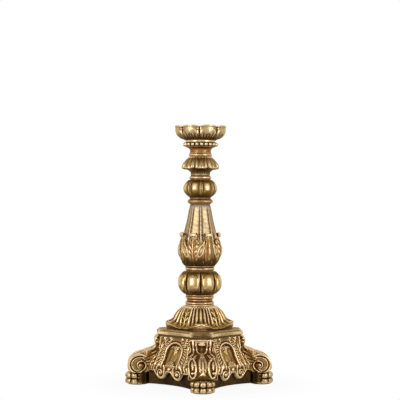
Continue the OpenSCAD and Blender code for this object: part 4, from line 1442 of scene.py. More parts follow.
class Ring(Enum):
    """The column's turned rings: node, height, darkening over all and painted shade at the ends, and outline.
    """

    COLLAR = ("ring_collar", 181.0, 0.0, 0.4,
              [(33.4, 0), (34, 1.2), (33.2, 3.2)] + round_points(30.4, 6.8, 3.1, -60, 75)
              + [(30.0, 10.8), (29.7, 12.2), (30.4, 13.3), (30.5, 14.3), (29.9, 15.4), (30.1, 16.3)]
              + round_points(30.2, 19.8, 3.1, -70, 60)
              + [(31.6, 23.2), (32.8, 24.2), (33.2, 25.6), (32.8, 26)])
    VASE_RING = ("vase_ring", 262.0, 0.0, 0.6,
                 [(31.0, 0), (31.6, 0.5), (31.9, 1.7)] + round_points(31.1, 5.4, 3.1, -70, 70)
                 + [(32.2, 8.7), (34.4, 9.6), (35.2, 10.6), (34.9, 12)])
    NECK_RING = ("neck_ring", 415.0, 0.25, 0.85,
                 [(22.6, 0), (23.4, 1.2), (24.4, 3.4)] + round_points(24.9, 8.6, 4.6, -70, 75)
                 + [(24.8, 13.8), (24.3, 15.2), (24.6, 16.8), (25.2, 18)])
    SPOOL_RING = ("spool_ring", 474.0, 0.1, 0.7,
                  [(23.6, 0), (24.0, 0.6)] + round_points(22.2, 4.9, 3.6, -75, 75)
                  + [(22.6, 9.2), (22.3, 10)])
    NECK_SPOOL = ("neck_spool", 528.0, 0.0, 0.6,
                  [(24.6, 0), (25.0, 0.5)] + round_points(24.4, 3.4, 2.9, -80, 80)
                  + [(25.4, 6.6), (25.7, 7.4), (25.4, 8.4), (24.7, 9.8), (24.3, 12), (24.5, 14.6),
                     (25.3, 16.8), (26.8, 18.6), (29.4, 20.4), (32.4, 21.6), (34.6, 22.2), (35.0, 23)])


@dataclass
class TurnedRings(Part):
    """The plain turned rings of the column."""

    slot: str = "gilt_pale"
    around: int = 256

    def build(self) -> None:
        """Make every ring."""
        for ring in Ring:
            node, base_z, overall, at_ends, outline = ring.value
            skin = lathe(resampled(outline, 0.5), self.around, plain, base_z)
            h = skin.points[:, 2] - base_z
            top = outline[-1][1]
            # Painted shade at each ring's ends, where it meets the next piece, over an even darkening of the
            # whole ring.
            ends = np.maximum(smooth(3.4, 1.4, h), smooth(top - 3.6, top - 1.8, h))
            self.put(f"turned_{node}", skin.toned(shade=np.maximum(overall, at_ends * ends)), node)


GrowthInputs = dict[str, Union[float, int, bpy.types.Material]]


class GrowthGraph(Graph):
    """A geometry node tree that grows one piece from its named inputs.

    Attributes:
        given: Each named input's socket.
        at: Position of each point.
    """

    def __init__(self, name: str, inputs: Sequence[tuple[str, str]]) -> None:
        """Start a tree, with one input more for its finish.

        Args:
            name: Name of the tree.
            inputs: Pairs of an input's name and type.
        """
        super().__init__(bpy.data.node_groups.new(name, "GeometryNodeTree"))
        self.tree.interface.new_socket("Geometry", in_out="OUTPUT", socket_type="NodeSocketGeometry")
        for label, kind in (*inputs, ("Finish", "Material")):
            self.tree.interface.new_socket(label, in_out="INPUT", socket_type=f"NodeSocket{kind}")
        labels = [label for label, _ in inputs] + ["Finish"]
        self.given = {label: self.node("NodeGroupInput", output=label) for label in labels}
        self.at = self.node("GeometryNodeInputPosition")

    def stored(self, geometry: Sock, name: str, value: Sock) -> Sock:
        """The geometry with a value stored at its points, for the finish to read."""
        return self.node("GeometryNodeStoreNamedAttribute", {"data_type": "FLOAT", "domain": "POINT"},
                         {"Geometry": geometry, "Name": name, "Value": value})

    def moved(self, geometry: Sock, position: Sock) -> Sock:
        """The geometry with its points moved."""
        return self.node("GeometryNodeSetPosition", None, {"Geometry": geometry, "Position": position})

    def ring(self, instance: Sock, radius: Sock, turn: Value = (0.0, 0.0, 0.0)) -> Sock:
        """Set copies in a ring about the axis, as many as the input Count says.

        Args:
            instance: What is copied.
            radius: Radius of the ring.
            turn: Rotation of each copy.

        Returns:
            The copies.
        """
        ring = self.node("GeometryNodeMeshCircle", None, {"Vertices": self.given["Count"], "Radius": radius},
                         "Mesh")
        return self.node("GeometryNodeInstanceOnPoints", None, {"Points": ring, "Instance": instance,
                                                                "Rotation": turn})

    def finished(self, geometry: Sock) -> bpy.types.NodeTree:
        """Finish the tree.

        Args:
            geometry: What it grows.

        Returns:
            The tree, which realises, paints and hands out the geometry.
        """
        whole = self.node("GeometryNodeRealizeInstances", None, {"Geometry": geometry})
        painted = self.node("GeometryNodeSetMaterial", None,
                            {"Geometry": whole, "Material": self.given["Finish"]})
        self.node("NodeGroupOutput", None, {"Geometry": painted})
        return self.tree


def grown(name: str, tree: bpy.types.NodeTree, values: GrowthInputs,
          tones: Optional[Callable[[Array], dict[str, Array]]] = None) -> bpy.types.Object:
    """Make an object whose mesh is grown once by a node tree.

    Args:
        name: Name of the object.
        tree: Geometry node tree, whose last nodes realise and paint its result.
        values: Value for each named input.
        tones: Gives the painted shade and highlight tones at the mesh's points, or None for none.

    Returns:
        The object, with the grown mesh as its own and its carving measured.
    """
    seed = bpy.data.objects.new(name, bpy.data.meshes.new(f"{name}_seed"))
    bpy.context.scene.collection.objects.link(seed)
    modifier = seed.modifiers.new("grow", "NODES")
    modifier.node_group = tree
    for item in tree.interface.items_tree:
        if item.item_type == "SOCKET" and item.in_out == "INPUT":
            modifier[item.identifier] = values[item.name]
    graph = bpy.context.evaluated_depsgraph_get()
    mesh = bpy.data.meshes.new_from_object(seed.evaluated_get(graph), preserve_all_data_layers=True,
                                           depsgraph=graph)
    seed.modifiers.remove(modifier)
    seed.data = mesh
    mesh.name = name
    mesh.polygons.foreach_set("use_smooth", np.ones(len(mesh.polygons), bool))
    points, faces = mesh_points(mesh)
    write_carving(mesh, carving_of(points, faces) | (tones(points) if tones else {}))
    return seed


KNOP_LENGTHS = ("Height", "Foot Radius", "Top Radius", "Crown Radius", "Valley Depth", "Egg Rise",
                "Rib Rise", "Base")
KNOP_RULES = ("Squareness", "Fullness", "Valley Round", "Egg Width", "Rib Width")


def knop_tree() -> bpy.types.NodeTree:
    """Build the rule for a lobed knop, which its named inputs shape."""
    g = GrowthGraph("lobed_knop", [(name, "Float") for name in KNOP_LENGTHS + KNOP_RULES]
                    + [("Lobes", "Int"), ("Seed", "Int")])
    given = g.given
    drum = g.node("GeometryNodeMeshCylinder", {"fill_type": "TRIANGLE_FAN"},
                  {"Vertices": 384, "Side Segments": 88, "Fill Segments": 1, "Radius": 1.0, "Depth": 1.0},
                  "Mesh")
    x, y, z = g.parts_of(g.at)
    out = (x * x + y * y).root()
    bearing = g.math("ARCTAN2", y, x)
    share = 0.5 - g.math("COSINE", (z + 0.5) * math.pi) * 0.5
    from_middle = share * 2.0 - 1.0
    swell = (1.0 - g.math("ABSOLUTE", from_middle) ** given["Squareness"]).between() ** given["Fullness"]
    ends = given["Foot Radius"] + (given["Top Radius"] - given["Foot Radius"]) * share
    turn = g.math("FLOORED_MODULO", bearing * given["Lobes"] / (2.0 * math.pi), 1.0)
    side = g.math("ABSOLUTE", turn * 2.0 - 1.0)
    valley = given["Valley Depth"] * (1.0 - (1.0 - side ** given["Valley Round"]).root()) * swell
    egg_side, egg_up = side / given["Egg Width"], from_middle / 0.76
    egg = given["Egg Rise"] * (1.0 - (egg_side * egg_side + egg_up * egg_up)).root()
    on_rib = (1.0 - side) / given["Rib Width"]
    rib = given["Rib Rise"] * (1.0 - on_rib * on_rib).root() * swell
    wear = g.node("ShaderNodeTexNoise", {"noise_dimensions": "4D"},
                  {"Vector": g.at, "W": given["Seed"] * 1.7, "Scale": 3.0, "Detail": 2.0})
    radius = (ends + (given["Crown Radius"] - ends) * swell - valley + egg + rib
              + (wear - 0.5) * given["Crown Radius"] * 0.012) * out
    place_of = g.vector(radius * g.math("COSINE", bearing), radius * g.math("SINE", bearing),
                        given["Base"] + given["Height"] * share)
    # Painted shade in the creases beside each rib, on the ribs and towards the knop's top and bottom, and a
    # painted highlight on each lobe's crown; both are stored while the points are still on the drum.
    ends_dark = g.math("MAXIMUM", g.ease(share, 0.42, 0.1), g.ease(share, 0.78, 0.93))
    crease = g.math("ABSOLUTE", side + given["Rib Width"] * 1.12 - 1.0)
    shade = g.math("MAXIMUM", g.ease(crease, 0.16, 0.03) * 0.85, ends_dark * 0.6)
    shade = g.math("MAXIMUM", shade, g.ease(rib, 0.0, 0.001) * 0.35)
    polish = g.ease(side, 0.52, 0.2) * g.ease(g.math("ABSOLUTE", share - 0.58), 0.27, 0.1)
    toned = g.stored(g.stored(drum, "shade", shade * g.ease(swell, 0.0, 0.4)), "polish", polish)
    return g.finished(g.moved(toned, place_of))


@dataclass(frozen=True)
class KnopShape:
    """One lobed knop, with its measures under the names of the tree's inputs.

    Attributes:
        node: Frame node that it stands for.
        seed: Seed of its unevenness.
        lengths: KNOP_LENGTHS, in millimetres.
        rules: KNOP_RULES.
    """

    node: str
    seed: int
    lengths: tuple[float, ...]
    rules: tuple[float, ...]

    def values(self, finish: bpy.types.Material) -> GrowthInputs:
        """The tree's inputs for this shape."""
        named = dict(zip(KNOP_LENGTHS, (v * MM for v in self.lengths))) | dict(zip(KNOP_RULES, self.rules))
        return named | {"Lobes": LOBES, "Seed": self.seed, "Finish": finish}


KNOPS = (
    KnopShape("lower_knop", 3, (55.0, 30.2, 33.4, 51.4, 8.6, 1.4, 0.0, 207.0), (2.2, 0.62, 2.2, 0.78, 0.05)),
    KnopShape("upper_knop", 8, (41.0, 24.8, 26.4, 39.6, 6.0, 0.0, 2.6, 433.0), (2.0, 0.92, 2.6, 0.7, 0.26)),
)


@dataclass
class LobedKnops(Part):
    """The two lobed knops, both grown by one rule."""

    slot: str = "gilt_pale"

    def build(self) -> None:
        """Make both knops."""
        tree = knop_tree()
        for shape in KNOPS:
            piece = grown(f"lobed_{shape.node}", tree, shape.values(self.finish))
            enrol(piece, self.slot, (shape.node,))


VASE_OUTLINE = ((0, 33), (2, 35.4), (5.1, 38), (10.1, 41.4), (16.2, 44.2), (24.3, 45.9), (36.5, 46),
                (48.7, 43.6), (60.9, 40.4), (73, 37.8), (85.2, 35.3), (99.4, 31.6), (113.6, 28.7),
                (127.8, 26), (138, 23.9), (141, 23.4))
VASE_Z = 274.0


@dataclass
class Vase(Part):
    """The fluted vase: eight broad flats over its leaves, parted by paired fillets."""

    slot: str = "gilt_pale"
    around: int = 448
    belly_rows: int = 34
    flat_rows: int = 94

    def carve(self, bearing: Array, h: Array, radius: Array) -> Array:
        """Carve the piece.

        Args:
            bearing, h, radius: Bearings in degrees, heights over the foot and plain radii.

        Returns:
            Height of the carving over the plain form.
        """
        gap = lobe_share(bearing) * 0.5 * LOBE_STEP
        wide = np.radians(gap) * radius
        over = smooth(50.0, 68.0, h) * smooth(141.0, 137.5, h)
        corner = np.radians(0.5 * LOBE_STEP)
        half = corner * radius
        flat = radius * (np.cos(corner) / np.cos(corner - np.radians(gap)) - 1.0) * 0.75
        fillet = 0.6 * dome(wide / (0.15 * half))
        groove = -0.8 * bell(wide - 0.24 * half, 0.09 * half)
        arch = 0.8 * bell(h - 60.0 - 10.0 * dome((gap - 22.5) / 15.0), 1.8)
        uneven = 0.1 * np.sin(h * 0.6 + np.radians(bearing) * 5)
        return over * (flat + fillet + groove) + arch * (gap > 7.5) + uneven

    def build(self) -> None:
        """Make the vase."""
        h = np.r_[np.linspace(0, 50, self.belly_rows, endpoint=False), np.linspace(50, 141, self.flat_rows)]
        skin = lathe(np.stack([table(VASE_OUTLINE, h), h], axis=1), self.around, self.carve, VASE_Z)
        bearing, _, up = skin.polar()
        side, h = lobe_share(bearing), up - VASE_Z
        # Painted shade on the strips between the flats and towards the vase's foot and top; gloss here is a
        # painted highlight on the flats.
        over = smooth(60.0, 72.0, h) * smooth(140.0, 134.0, h)
        strip = over * (0.45 * smooth(0.46, 0.34, side) - 0.25 * smooth(0.16, 0.06, side))
        ends = np.maximum(smooth(34.0, 14.0, h), 0.6 * smooth(131.0, 138.0, h))
        gloss = over * smooth(0.46, 0.7, side) * (0.6 + 0.4 * smooth(62.0, 96.0, h))
        self.put("fluted_vase_body", skin.toned(polish=0.34 * gloss, shade=np.maximum(strip, ends)),
                 "fluted_vase")


class Blade(Enum):
    """How a clasping leaf is carved."""

    BROAD = "broad"
    FEATHERED = "feathered"


@dataclass
class ClaspLeaves(Part):
    """Eight leaves round the vase with tips that curl outwards, broad and feathered in turn."""

    columns: int = 78
    back_columns: int = 22
    rows: int = 148
    mean_r: float = 46.0
    path: tuple[Point, ...] = ((34, 0.4), (38.4, 6), (43.2, 14), (47.2, 24), (49.4, 33),
                               (49.2, 40), (47.8, 48), (45.8, 56), (43.8, 63), (42.2, 68),
                               (41.8, 71.4), (42.8, 73.8), (44.8, 74), (45.8, 72.2), (45.4, 70.4),
                               (44.2, 69.8))
    half_angle: tuple[Point, ...] = ((0, 15), (0.12, 18.5), (0.28, 21.2), (0.45, 21.4), (0.6, 19.5),
                                     (0.72, 16), (0.8, 13), (0.87, 11.5), (0.94, 10.5), (1, 8.5))
    thick: tuple[Point, ...] = ((0, 1.6), (0.15, 2.6), (0.35, 3.6), (0.55, 4), (0.7, 4.2), (0.82, 3.8),
                                (0.92, 3.2), (1, 2.6))

    def edge(self, blade: Blade, f: Array) -> Array:
        """Scallop the leaf's edge.

        Args:
            blade: How the leaf is carved.
            f: Shares of its length.

        Returns:
            Share of the full width there.
        """
        if blade is Blade.BROAD:
            return 1.0 - 0.10 * np.abs(np.sin(f * 9.5)) * smooth(0.3, 0.5, f)
        return 1.0 - 0.26 * (1.0 - np.abs(np.sin(f * 20.0)) ** 0.7) * smooth(0.12, 0.3, f)

    def carve(self, blade: Blade, x: Array, s: Array) -> Array:
        """Carve a leaf's face.

        Args:
            blade: How the leaf is carved.
            x, s: Distances across the leaf and along it.

        Returns:
            Height of the carving over the plain leaf.
        """
        cut = Relief(x, s)
        if blade is Blade.BROAD:
            cut.height += 1.8 * bell(x, 5.5)
            for _ in cut.both_hands():
                cut.stroke([(8, 2), (15.5, 24), (15.8, 42), (11.5, 60), (7.5, 74)], (1.4, 2.4, 2.4, 1.8), 2)
                cut.cut([(5, 4), (10.6, 26), (10.4, 44), (6.6, 62)], (1.6, 3.2, 3.2, 1.6), 1.7)
            cut.stroke([(0, 2), (0, 40), (0, 72)], (1, 1.5, 1), 0.9)
            for k in range(2):
                cut.cut([(-2.4 + 4.8 * k, 76), (-3 + 6 * k, 92)], (0.7, 1), 0.8)
        else:
            for k, reach in enumerate((11.5, 14.5, 15.5, 14.0, 11.0, 8.5)):
                s0 = 4.0 + 11.0 * k
                for _ in cut.both_hands():
                    lobe = [(0.0, s0), (reach * 0.45, s0 + 11.0), (reach, s0 + 20.0)]
                    cut.stroke(lobe, (1.4, 3.2, 1.6), 2, base=-0.9, groove=0.5)
            cut.stroke([(0, 0), (0, 40), (0, 84)], (2.4, 1.8, 1.2), 1.3)
        beside = smooth(8.0, 11.5, np.abs(x)) * smooth(10.0, 18.0, s) * smooth(60.0, 52.0, s)
        return cut.softened(2) * (1.0 - 0.9 * beside) - beside

    def skin(self, blade: Blade) -> Surface:
        """Shape one leaf, about the stand's +X side.

        Args:
            blade: How the leaf is carved.

        Returns:
            Its skin, with painted shade low on the leaf and painted highlights near its top and edges.
        """
        path = spline(self.path, self.rows)
        f = np.linspace(0.0, 1.0, self.rows)
        run = run_along(path)
        tangent = directions(np.gradient(path, axis=0))
        out = np.stack([tangent[:, 1], -tangent[:, 0]], axis=1)
        half = table(self.half_angle, f) * self.edge(blade, f)
        thick = table(self.thick, f)
        u = np.sin(np.linspace(-1.0, 1.0, self.columns) * math.pi / 2)[None, :]
        body = np.sqrt(np.clip(1.0 - u ** 2, 0.0, 1.0)) ** 0.7
        x = u * np.radians(half)[:, None] * self.mean_r
        fade = np.clip(body * 1.6, 0.0, 1.0) * (smooth(0.0, 0.03, f) * smooth(1.0, 0.97, f))[:, None]
        relief = self.carve(blade, x, np.repeat(run[:, None], self.columns, axis=1)) * fade
        across_back = np.sin(np.linspace(1.0, -1.0, self.back_columns) * math.pi / 2)[None, 1:-1]
        sheets = []
        for side, lift in ((u, thick[:, None] * (body - 0.5) + relief), (across_back, -0.5 * thick[:, None])):
            lift = lift - 2.2 * side ** 2 * smooth(0.62, 0.9, f)[:, None]
            sheets.append(around_axis(path[:, :1] + out[:, :1] * lift, half[:, None] * side,
                                      path[:, 1:] + out[:, 1:] * lift + VASE_Z))
        skin = skin_of(np.concatenate(sheets, axis=1))
        bearing, _, up = skin.polar()
        h = up - VASE_Z
        # Painted highlights on the upper leaf and in streaks near its edges, and painted shade towards its
        # foot.
        bright = 0.7 * smooth(58.0, 72.0, h) + 0.5 * bell(np.abs(bearing) - 16.0, 3.0) * smooth(20.0, 34.0, h)
        return skin.toned(shade=0.85 * smooth(26.0, 6.0, h), polish=bright)

    def build(self) -> None:
        """Make the eight leaves."""
        skins = {blade: self.skin(blade) for blade in Blade}
        for k in range(LOBES):
            blade = Blade.BROAD if k % 2 == 0 else Blade.FEATHERED
            self.put(f"{blade.value}_leaf_{k + 1}", skins[blade].turned((k + 0.5) * LOBE_STEP),
                     f"leaf_{k + 1}")


@dataclass
class Sepals(Part):
    """Pointed, rimmed leaflets in the gaps between the clasping leaves, grown as copies of one blade."""

    def tree(self) -> bpy.types.NodeTree:
        """Build the rule that sets leaflets round the vase."""
        lengths = ("Ring Radius", "Height", "Length", "Width", "Thickness", "Lean")
        g = GrowthGraph("leaflets", [(name, "Float") for name in lengths] + [("Count", "Int")])
        given = g.given
        ball = g.node("GeometryNodeMeshUVSphere", None, {"Segments": 56, "Rings": 40, "Radius": 1.0}, "Mesh")
        x, y, z = g.parts_of(g.at)
        taper = (1.0 - z * z * z * 0.25).between(0.0, 1.4) * (1.0 - g.math("ABSOLUTE", z) ** 3.0 * 0.35)
        side = y * taper
        rim = (side * side * 1.1 + z * z).root()
        dish = g.ease(rim, 0.8, 0.5) * -0.42 * g.ease(x, 0.0, 0.15)
        blade = g.moved(ball, g.vector((x + dish + z * z * -1.5) * given["Thickness"],
                                       side * given["Width"] * 0.5, z * given["Length"] * 0.5))
        number = g.node("GeometryNodeInputIndex")
        lean = g.math("COSINE", number * math.pi) * given["Lean"]
        copies = g.ring(blade, given["Ring Radius"],
                        g.vector(x=lean, z=number * (2.0 * math.pi) / given["Count"]))
        return g.finished(g.node("GeometryNodeTransform", None,
                                 {"Geometry": copies, "Translation": g.vector(z=given["Height"])}))

    def build(self) -> None:
        """Make the leaflets as one piece."""
        piece = grown("vase_leaflets", self.tree(), {
            "Count": LOBES, "Ring Radius": 49.6 * MM, "Height": (VASE_Z + 36.0) * MM, "Length": 38.0 * MM,
            "Width": 14.5 * MM, "Thickness": 3.4 * MM, "Lean": math.radians(-20.0), "Finish": self.finish})
        enrol(piece, self.slot, ())


@dataclass
class Canopy(Part):
    """The canopy of eight rimmed leaves over a plain hollow."""

    slot: str = "gilt_pale"
    base_z: float = 484.0
    around: int = 448
    outline: tuple[Point, ...] = ((22.3, 0), (22.3, 2.9), (22.6, 5.7), (23.8, 8.4), (26.6, 10.9),
                                   (30.4, 13.2), (34.8, 13.9), (39.6, 15.1), (42.4, 16.2), (43.3, 17.7),
                                   (43.1, 20), (42, 24), (39.6, 28.2), (36.4, 32.3), (33, 36),
                                   (29.6, 39.4), (27.6, 42.1), (26.2, 44))

    def carve(self, bearing: Array, h: Array, radius: Array) -> Array:
        """Carve the piece.

        Args:
            bearing, h, radius: Bearings in degrees, heights over the foot and plain radii.

        Returns:
            Height of the carving over the plain form.
        """
        w = lobe_share(bearing)
        over = smooth(16.0, 19.0, h) * smooth(44.0, 38.0, h)
        notch = -3.2 * smooth(0.6, 1.0, w) * np.clip(1.0 - np.abs(h - 21.0) / 19.0, 0.0, 1.0)
        rim = 0.7 * dome((w - 0.68) / 0.2)
        vein = 0.6 * dome(w / 0.2) - 0.5 * bell(w - 0.38, 0.2)
        under = -0.9 * bell(w - 1.0, 0.10) * smooth(14.0, 9.0, h) * smooth(1.0, 6.0, h)
        return notch + over * (rim + vein) + under

    def dip(self, bearing: Array, h: Array) -> Array:
        """The tips hang a little and the notches rise."""
        w = lobe_share(bearing)
        return (1.6 * w ** 2 - 0.7) * bell(h - 18.0, 4.0)

    def build(self) -> None:
        """Make the canopy."""
        skin = lathe(spline(self.outline, 112), self.around, self.carve, self.base_z, self.dip)
        bearing, _, up = skin.polar()
        w, h = lobe_share(bearing), up - self.base_z
        # Painted highlights beside the notches, along the lip and down each leaf's middle, and painted shade
        # under the leaves and in the grooves beside each vein.
        leaves = smooth(18.0, 24.0, h)
        bright = (bell(w - 0.95, 0.34) * bell(h - 22.5, 6.5) + 0.9 * bell(h - 17.2, 1.3)
                  + 0.3 * bell(w, 0.2) * leaves)
        dark = np.maximum(0.65 * smooth(15.0, 12.0, h), 0.2 * bell(w - 0.45, 0.16) * leaves)
        self.put("leaf_canopy_carved", skin.toned(polish=bright, shade=dark), "leaf_canopy")


@dataclass
class BeadRing(Part):
    """The ring of beads under the cup, grown as copies of one bead round a turned core."""

    slot: str = "gilt_pale"
    base_z: float = 551.0

    def tree(self) -> bpy.types.NodeTree:
        """Build the rule for a ring of beads."""
        lengths = ("Row Radius", "Bead Radius", "Core Radius", "Height", "Base", "Turn")
        g = GrowthGraph("bead_ring", [(name, "Float") for name in lengths] + [("Count", "Int")])
        given = g.given
        bead = g.node("GeometryNodeMeshUVSphere", None,
                      {"Segments": 32, "Rings": 20, "Radius": given["Bead Radius"]}, "Mesh")
        core = g.node("GeometryNodeMeshCylinder", {"fill_type": "TRIANGLE_FAN"}, {
            "Vertices": 160, "Side Segments": 24, "Fill Segments": 6, "Radius": given["Core Radius"],
            "Depth": given["Height"]}, "Mesh")
        x, y, z = g.parts_of(g.at)
        up = z / given["Height"] * 2.0
        waist = 0.945 + up * up * up * up * 0.05
        both = g.node("GeometryNodeJoinGeometry", None, {"Geometry": g.ring(bead, given["Row Radius"])})
        turned = g.moved(core, g.vector(x * waist, y * waist, z))
        g.tree.links.new(turned.socket, both.socket.node.inputs[0])
        return g.finished(g.node("GeometryNodeTransform", None, {
            "Geometry": both, "Translation": g.vector(z=given["Base"] + given["Height"] * 0.5),
            "Rotation": g.vector(z=given["Turn"])}))

    def build(self) -> None:
        """Make the ring."""
        def dark_core(points: Array) -> dict[str, Array]:
            """Painted shade in the gaps between the beads, over a slight darkening of the whole ring."""
            out = np.hypot(points[:, 0], points[:, 1])
            return {"shade": 0.1 + 0.65 * smooth(38.6, 36.4, out)}

        piece = grown("bead_ring_carved", self.tree(), {
            "Count": 22, "Row Radius": 37.0 * MM, "Bead Radius": 4.4 * MM, "Core Radius": 35.6 * MM,
            "Height": 10.0 * MM, "Base": self.base_z * MM, "Turn": math.radians(9.0),
            "Finish": self.finish}, dark_core)
        enrol(piece, self.slot, ("bead_ring",))


@dataclass
class PetalCup(Part):
    """The cup of eight swelling petals with a rolled rim."""

    slot: str = "gilt_pale"
    base_z: float = 561.0
    turn: float = -6.0
    around: int = 416
    rows: int = 150
    outline: tuple[Point, ...] = ((35.2, 0), (34.5, 2.2), (34.9, 4.2), (38, 6.1), (44.2, 8.4),
                                   (49.8, 11.2), (54.1, 14.6), (57.3, 18.6), (59.3, 23.6), (60.2, 28.6),
                                   (60.4, 32.6), (60.9, 35.4), (61.2, 37.4), (60.4, 38.5), (59, 38.6),
                                   (57.6, 37.6), (56.3, 34.6), (55.5, 29), (53.8, 22.5), (50, 17.2),
                                   (44, 13), (40.5, 11.5), (30, 11.5), (14, 11.5))

    def carve(self, w: Array, h: Array, outer: Array) -> Array:
        """Carve the cup.

        Args:
            w: Share of the way from a petal's middle to a seam.
            h: Height over the cup's foot.
            outer: Where the outside is.

        Returns:
            Height of the carving.
        """
        grooves = -1.5 * np.abs(np.sin(w * math.pi * 3.0)) ** 3 * smooth(4.5, 7.0, h) * smooth(20.0, 11.0, h)
        seam = -1.5 * bell(w - 1.0, 0.07) * smooth(5.0, 9.0, h)
        lip = -0.5 * bell(h - 33.6, 1.8)
        sepal = 0.6 * dome((w - 0.8) / 0.2) * smooth(30.0, 14.0, h) * smooth(7.0, 9.0, h)
        swirl = 0.4 * np.sin(w * 9.0 + h * 0.35) * smooth(12.0, 20.0, h) * smooth(32.0, 26.0, h)
        return np.where(outer, grooves + seam + lip + sepal + swirl, -0.8 * bell(w - 1.0, 0.08))

    def build(self) -> None:
        """Make the cup."""
        outline = spline(self.outline, self.rows)
        tangent = directions(np.gradient(outline, axis=0))
        outer = (np.arange(self.rows) < np.argmax(outline[:, 1]))[:, None]
        bearing, z = np.meshgrid(bearings(self.around), outline[:, 1])
        r = np.repeat(outline[:, :1], self.around, axis=1)
        cut_in = 4.6 * (1.0 - np.abs(np.sin(np.radians((bearing - self.turn) * 0.5 * LOBES))) ** 0.6)
        share = np.where(outer, np.clip((r - 38.0) / 22.0, 0.0, 1.0), np.clip((r - 44.0) / 12.0, 0.0, 1.0))
        h = self.carve(1.0 - lobe_share(bearing, self.turn), z, outer)
        radius = r - cut_in * share + h * tangent[:, 1:]
        height = z - cut_in * smooth(25.0, 39.0, z) * 0.8 - h * tangent[:, :1]
        skin = skin_of(around_axis(radius, bearing, height + self.base_z))
        bearing, _, up = skin.polar()
        w, h = 1.0 - lobe_share(bearing, self.turn), up - self.base_z
        # Painted highlights high on each petal and on the foot, and painted shade along the seams and under
        # the swell of the petals.
        bright = (0.6 * smooth(0.85, 0.35, w) * smooth(15.0, 24.0, h) * smooth(36.0, 33.0, h)
                  + 0.4 * smooth(5.0, 3.5, h))
        dark = np.maximum(0.65 * smooth(0.82, 1.0, w) * smooth(6.0, 10.0, h),
                          0.8 * smooth(17.0, 9.0, h) * smooth(4.5, 6.5, h))
        self.put("petal_cup_carved", skin.toned(polish=bright, shade=dark), "petal_cup")


# ---- The studio ----

@dataclass(frozen=True)
class SoftBox:
    """A tall rectangular lamp, aimed at the stand.

    Attributes:
        name: Name of the lamp.
        azimuth: Bearing from the front, in degrees to the right.
        power: Power in watts.
        distance, height: Place of its middle, in metres.
        size: Width and height, in metres.
        aim: Height that it is aimed at, in metres.
    """

    name: str
    azimuth: float
    power: float
    distance: float = 1.9
    height: float = 0.62
    size: tuple[float, float] = (0.55, 1.5)
    aim: float = 0.3

    def build(self) -> None:
        """Hang the lamp."""
        lamp = bpy.data.lights.new(self.name, "AREA")
        lamp.shape = "RECTANGLE"
        lamp.size, lamp.size_y = self.size
        lamp.energy = self.power
        rig = bpy.data.objects.new(self.name, lamp)
        a = math.radians(self.azimuth)
        rig.location = (math.sin(a) * self.distance, -math.cos(a) * self.distance, self.height)
        rig.rotation_euler = (Vector((0.0, 0.0, self.aim)) - rig.location).to_track_quat("-Z", "Y").to_euler()
        bpy.context.scene.collection.objects.link(rig)


SOFT_BOXES = (SoftBox("soft_box_left", -48.0, 15.0), SoftBox("soft_box_right", 46.0, 13.0))


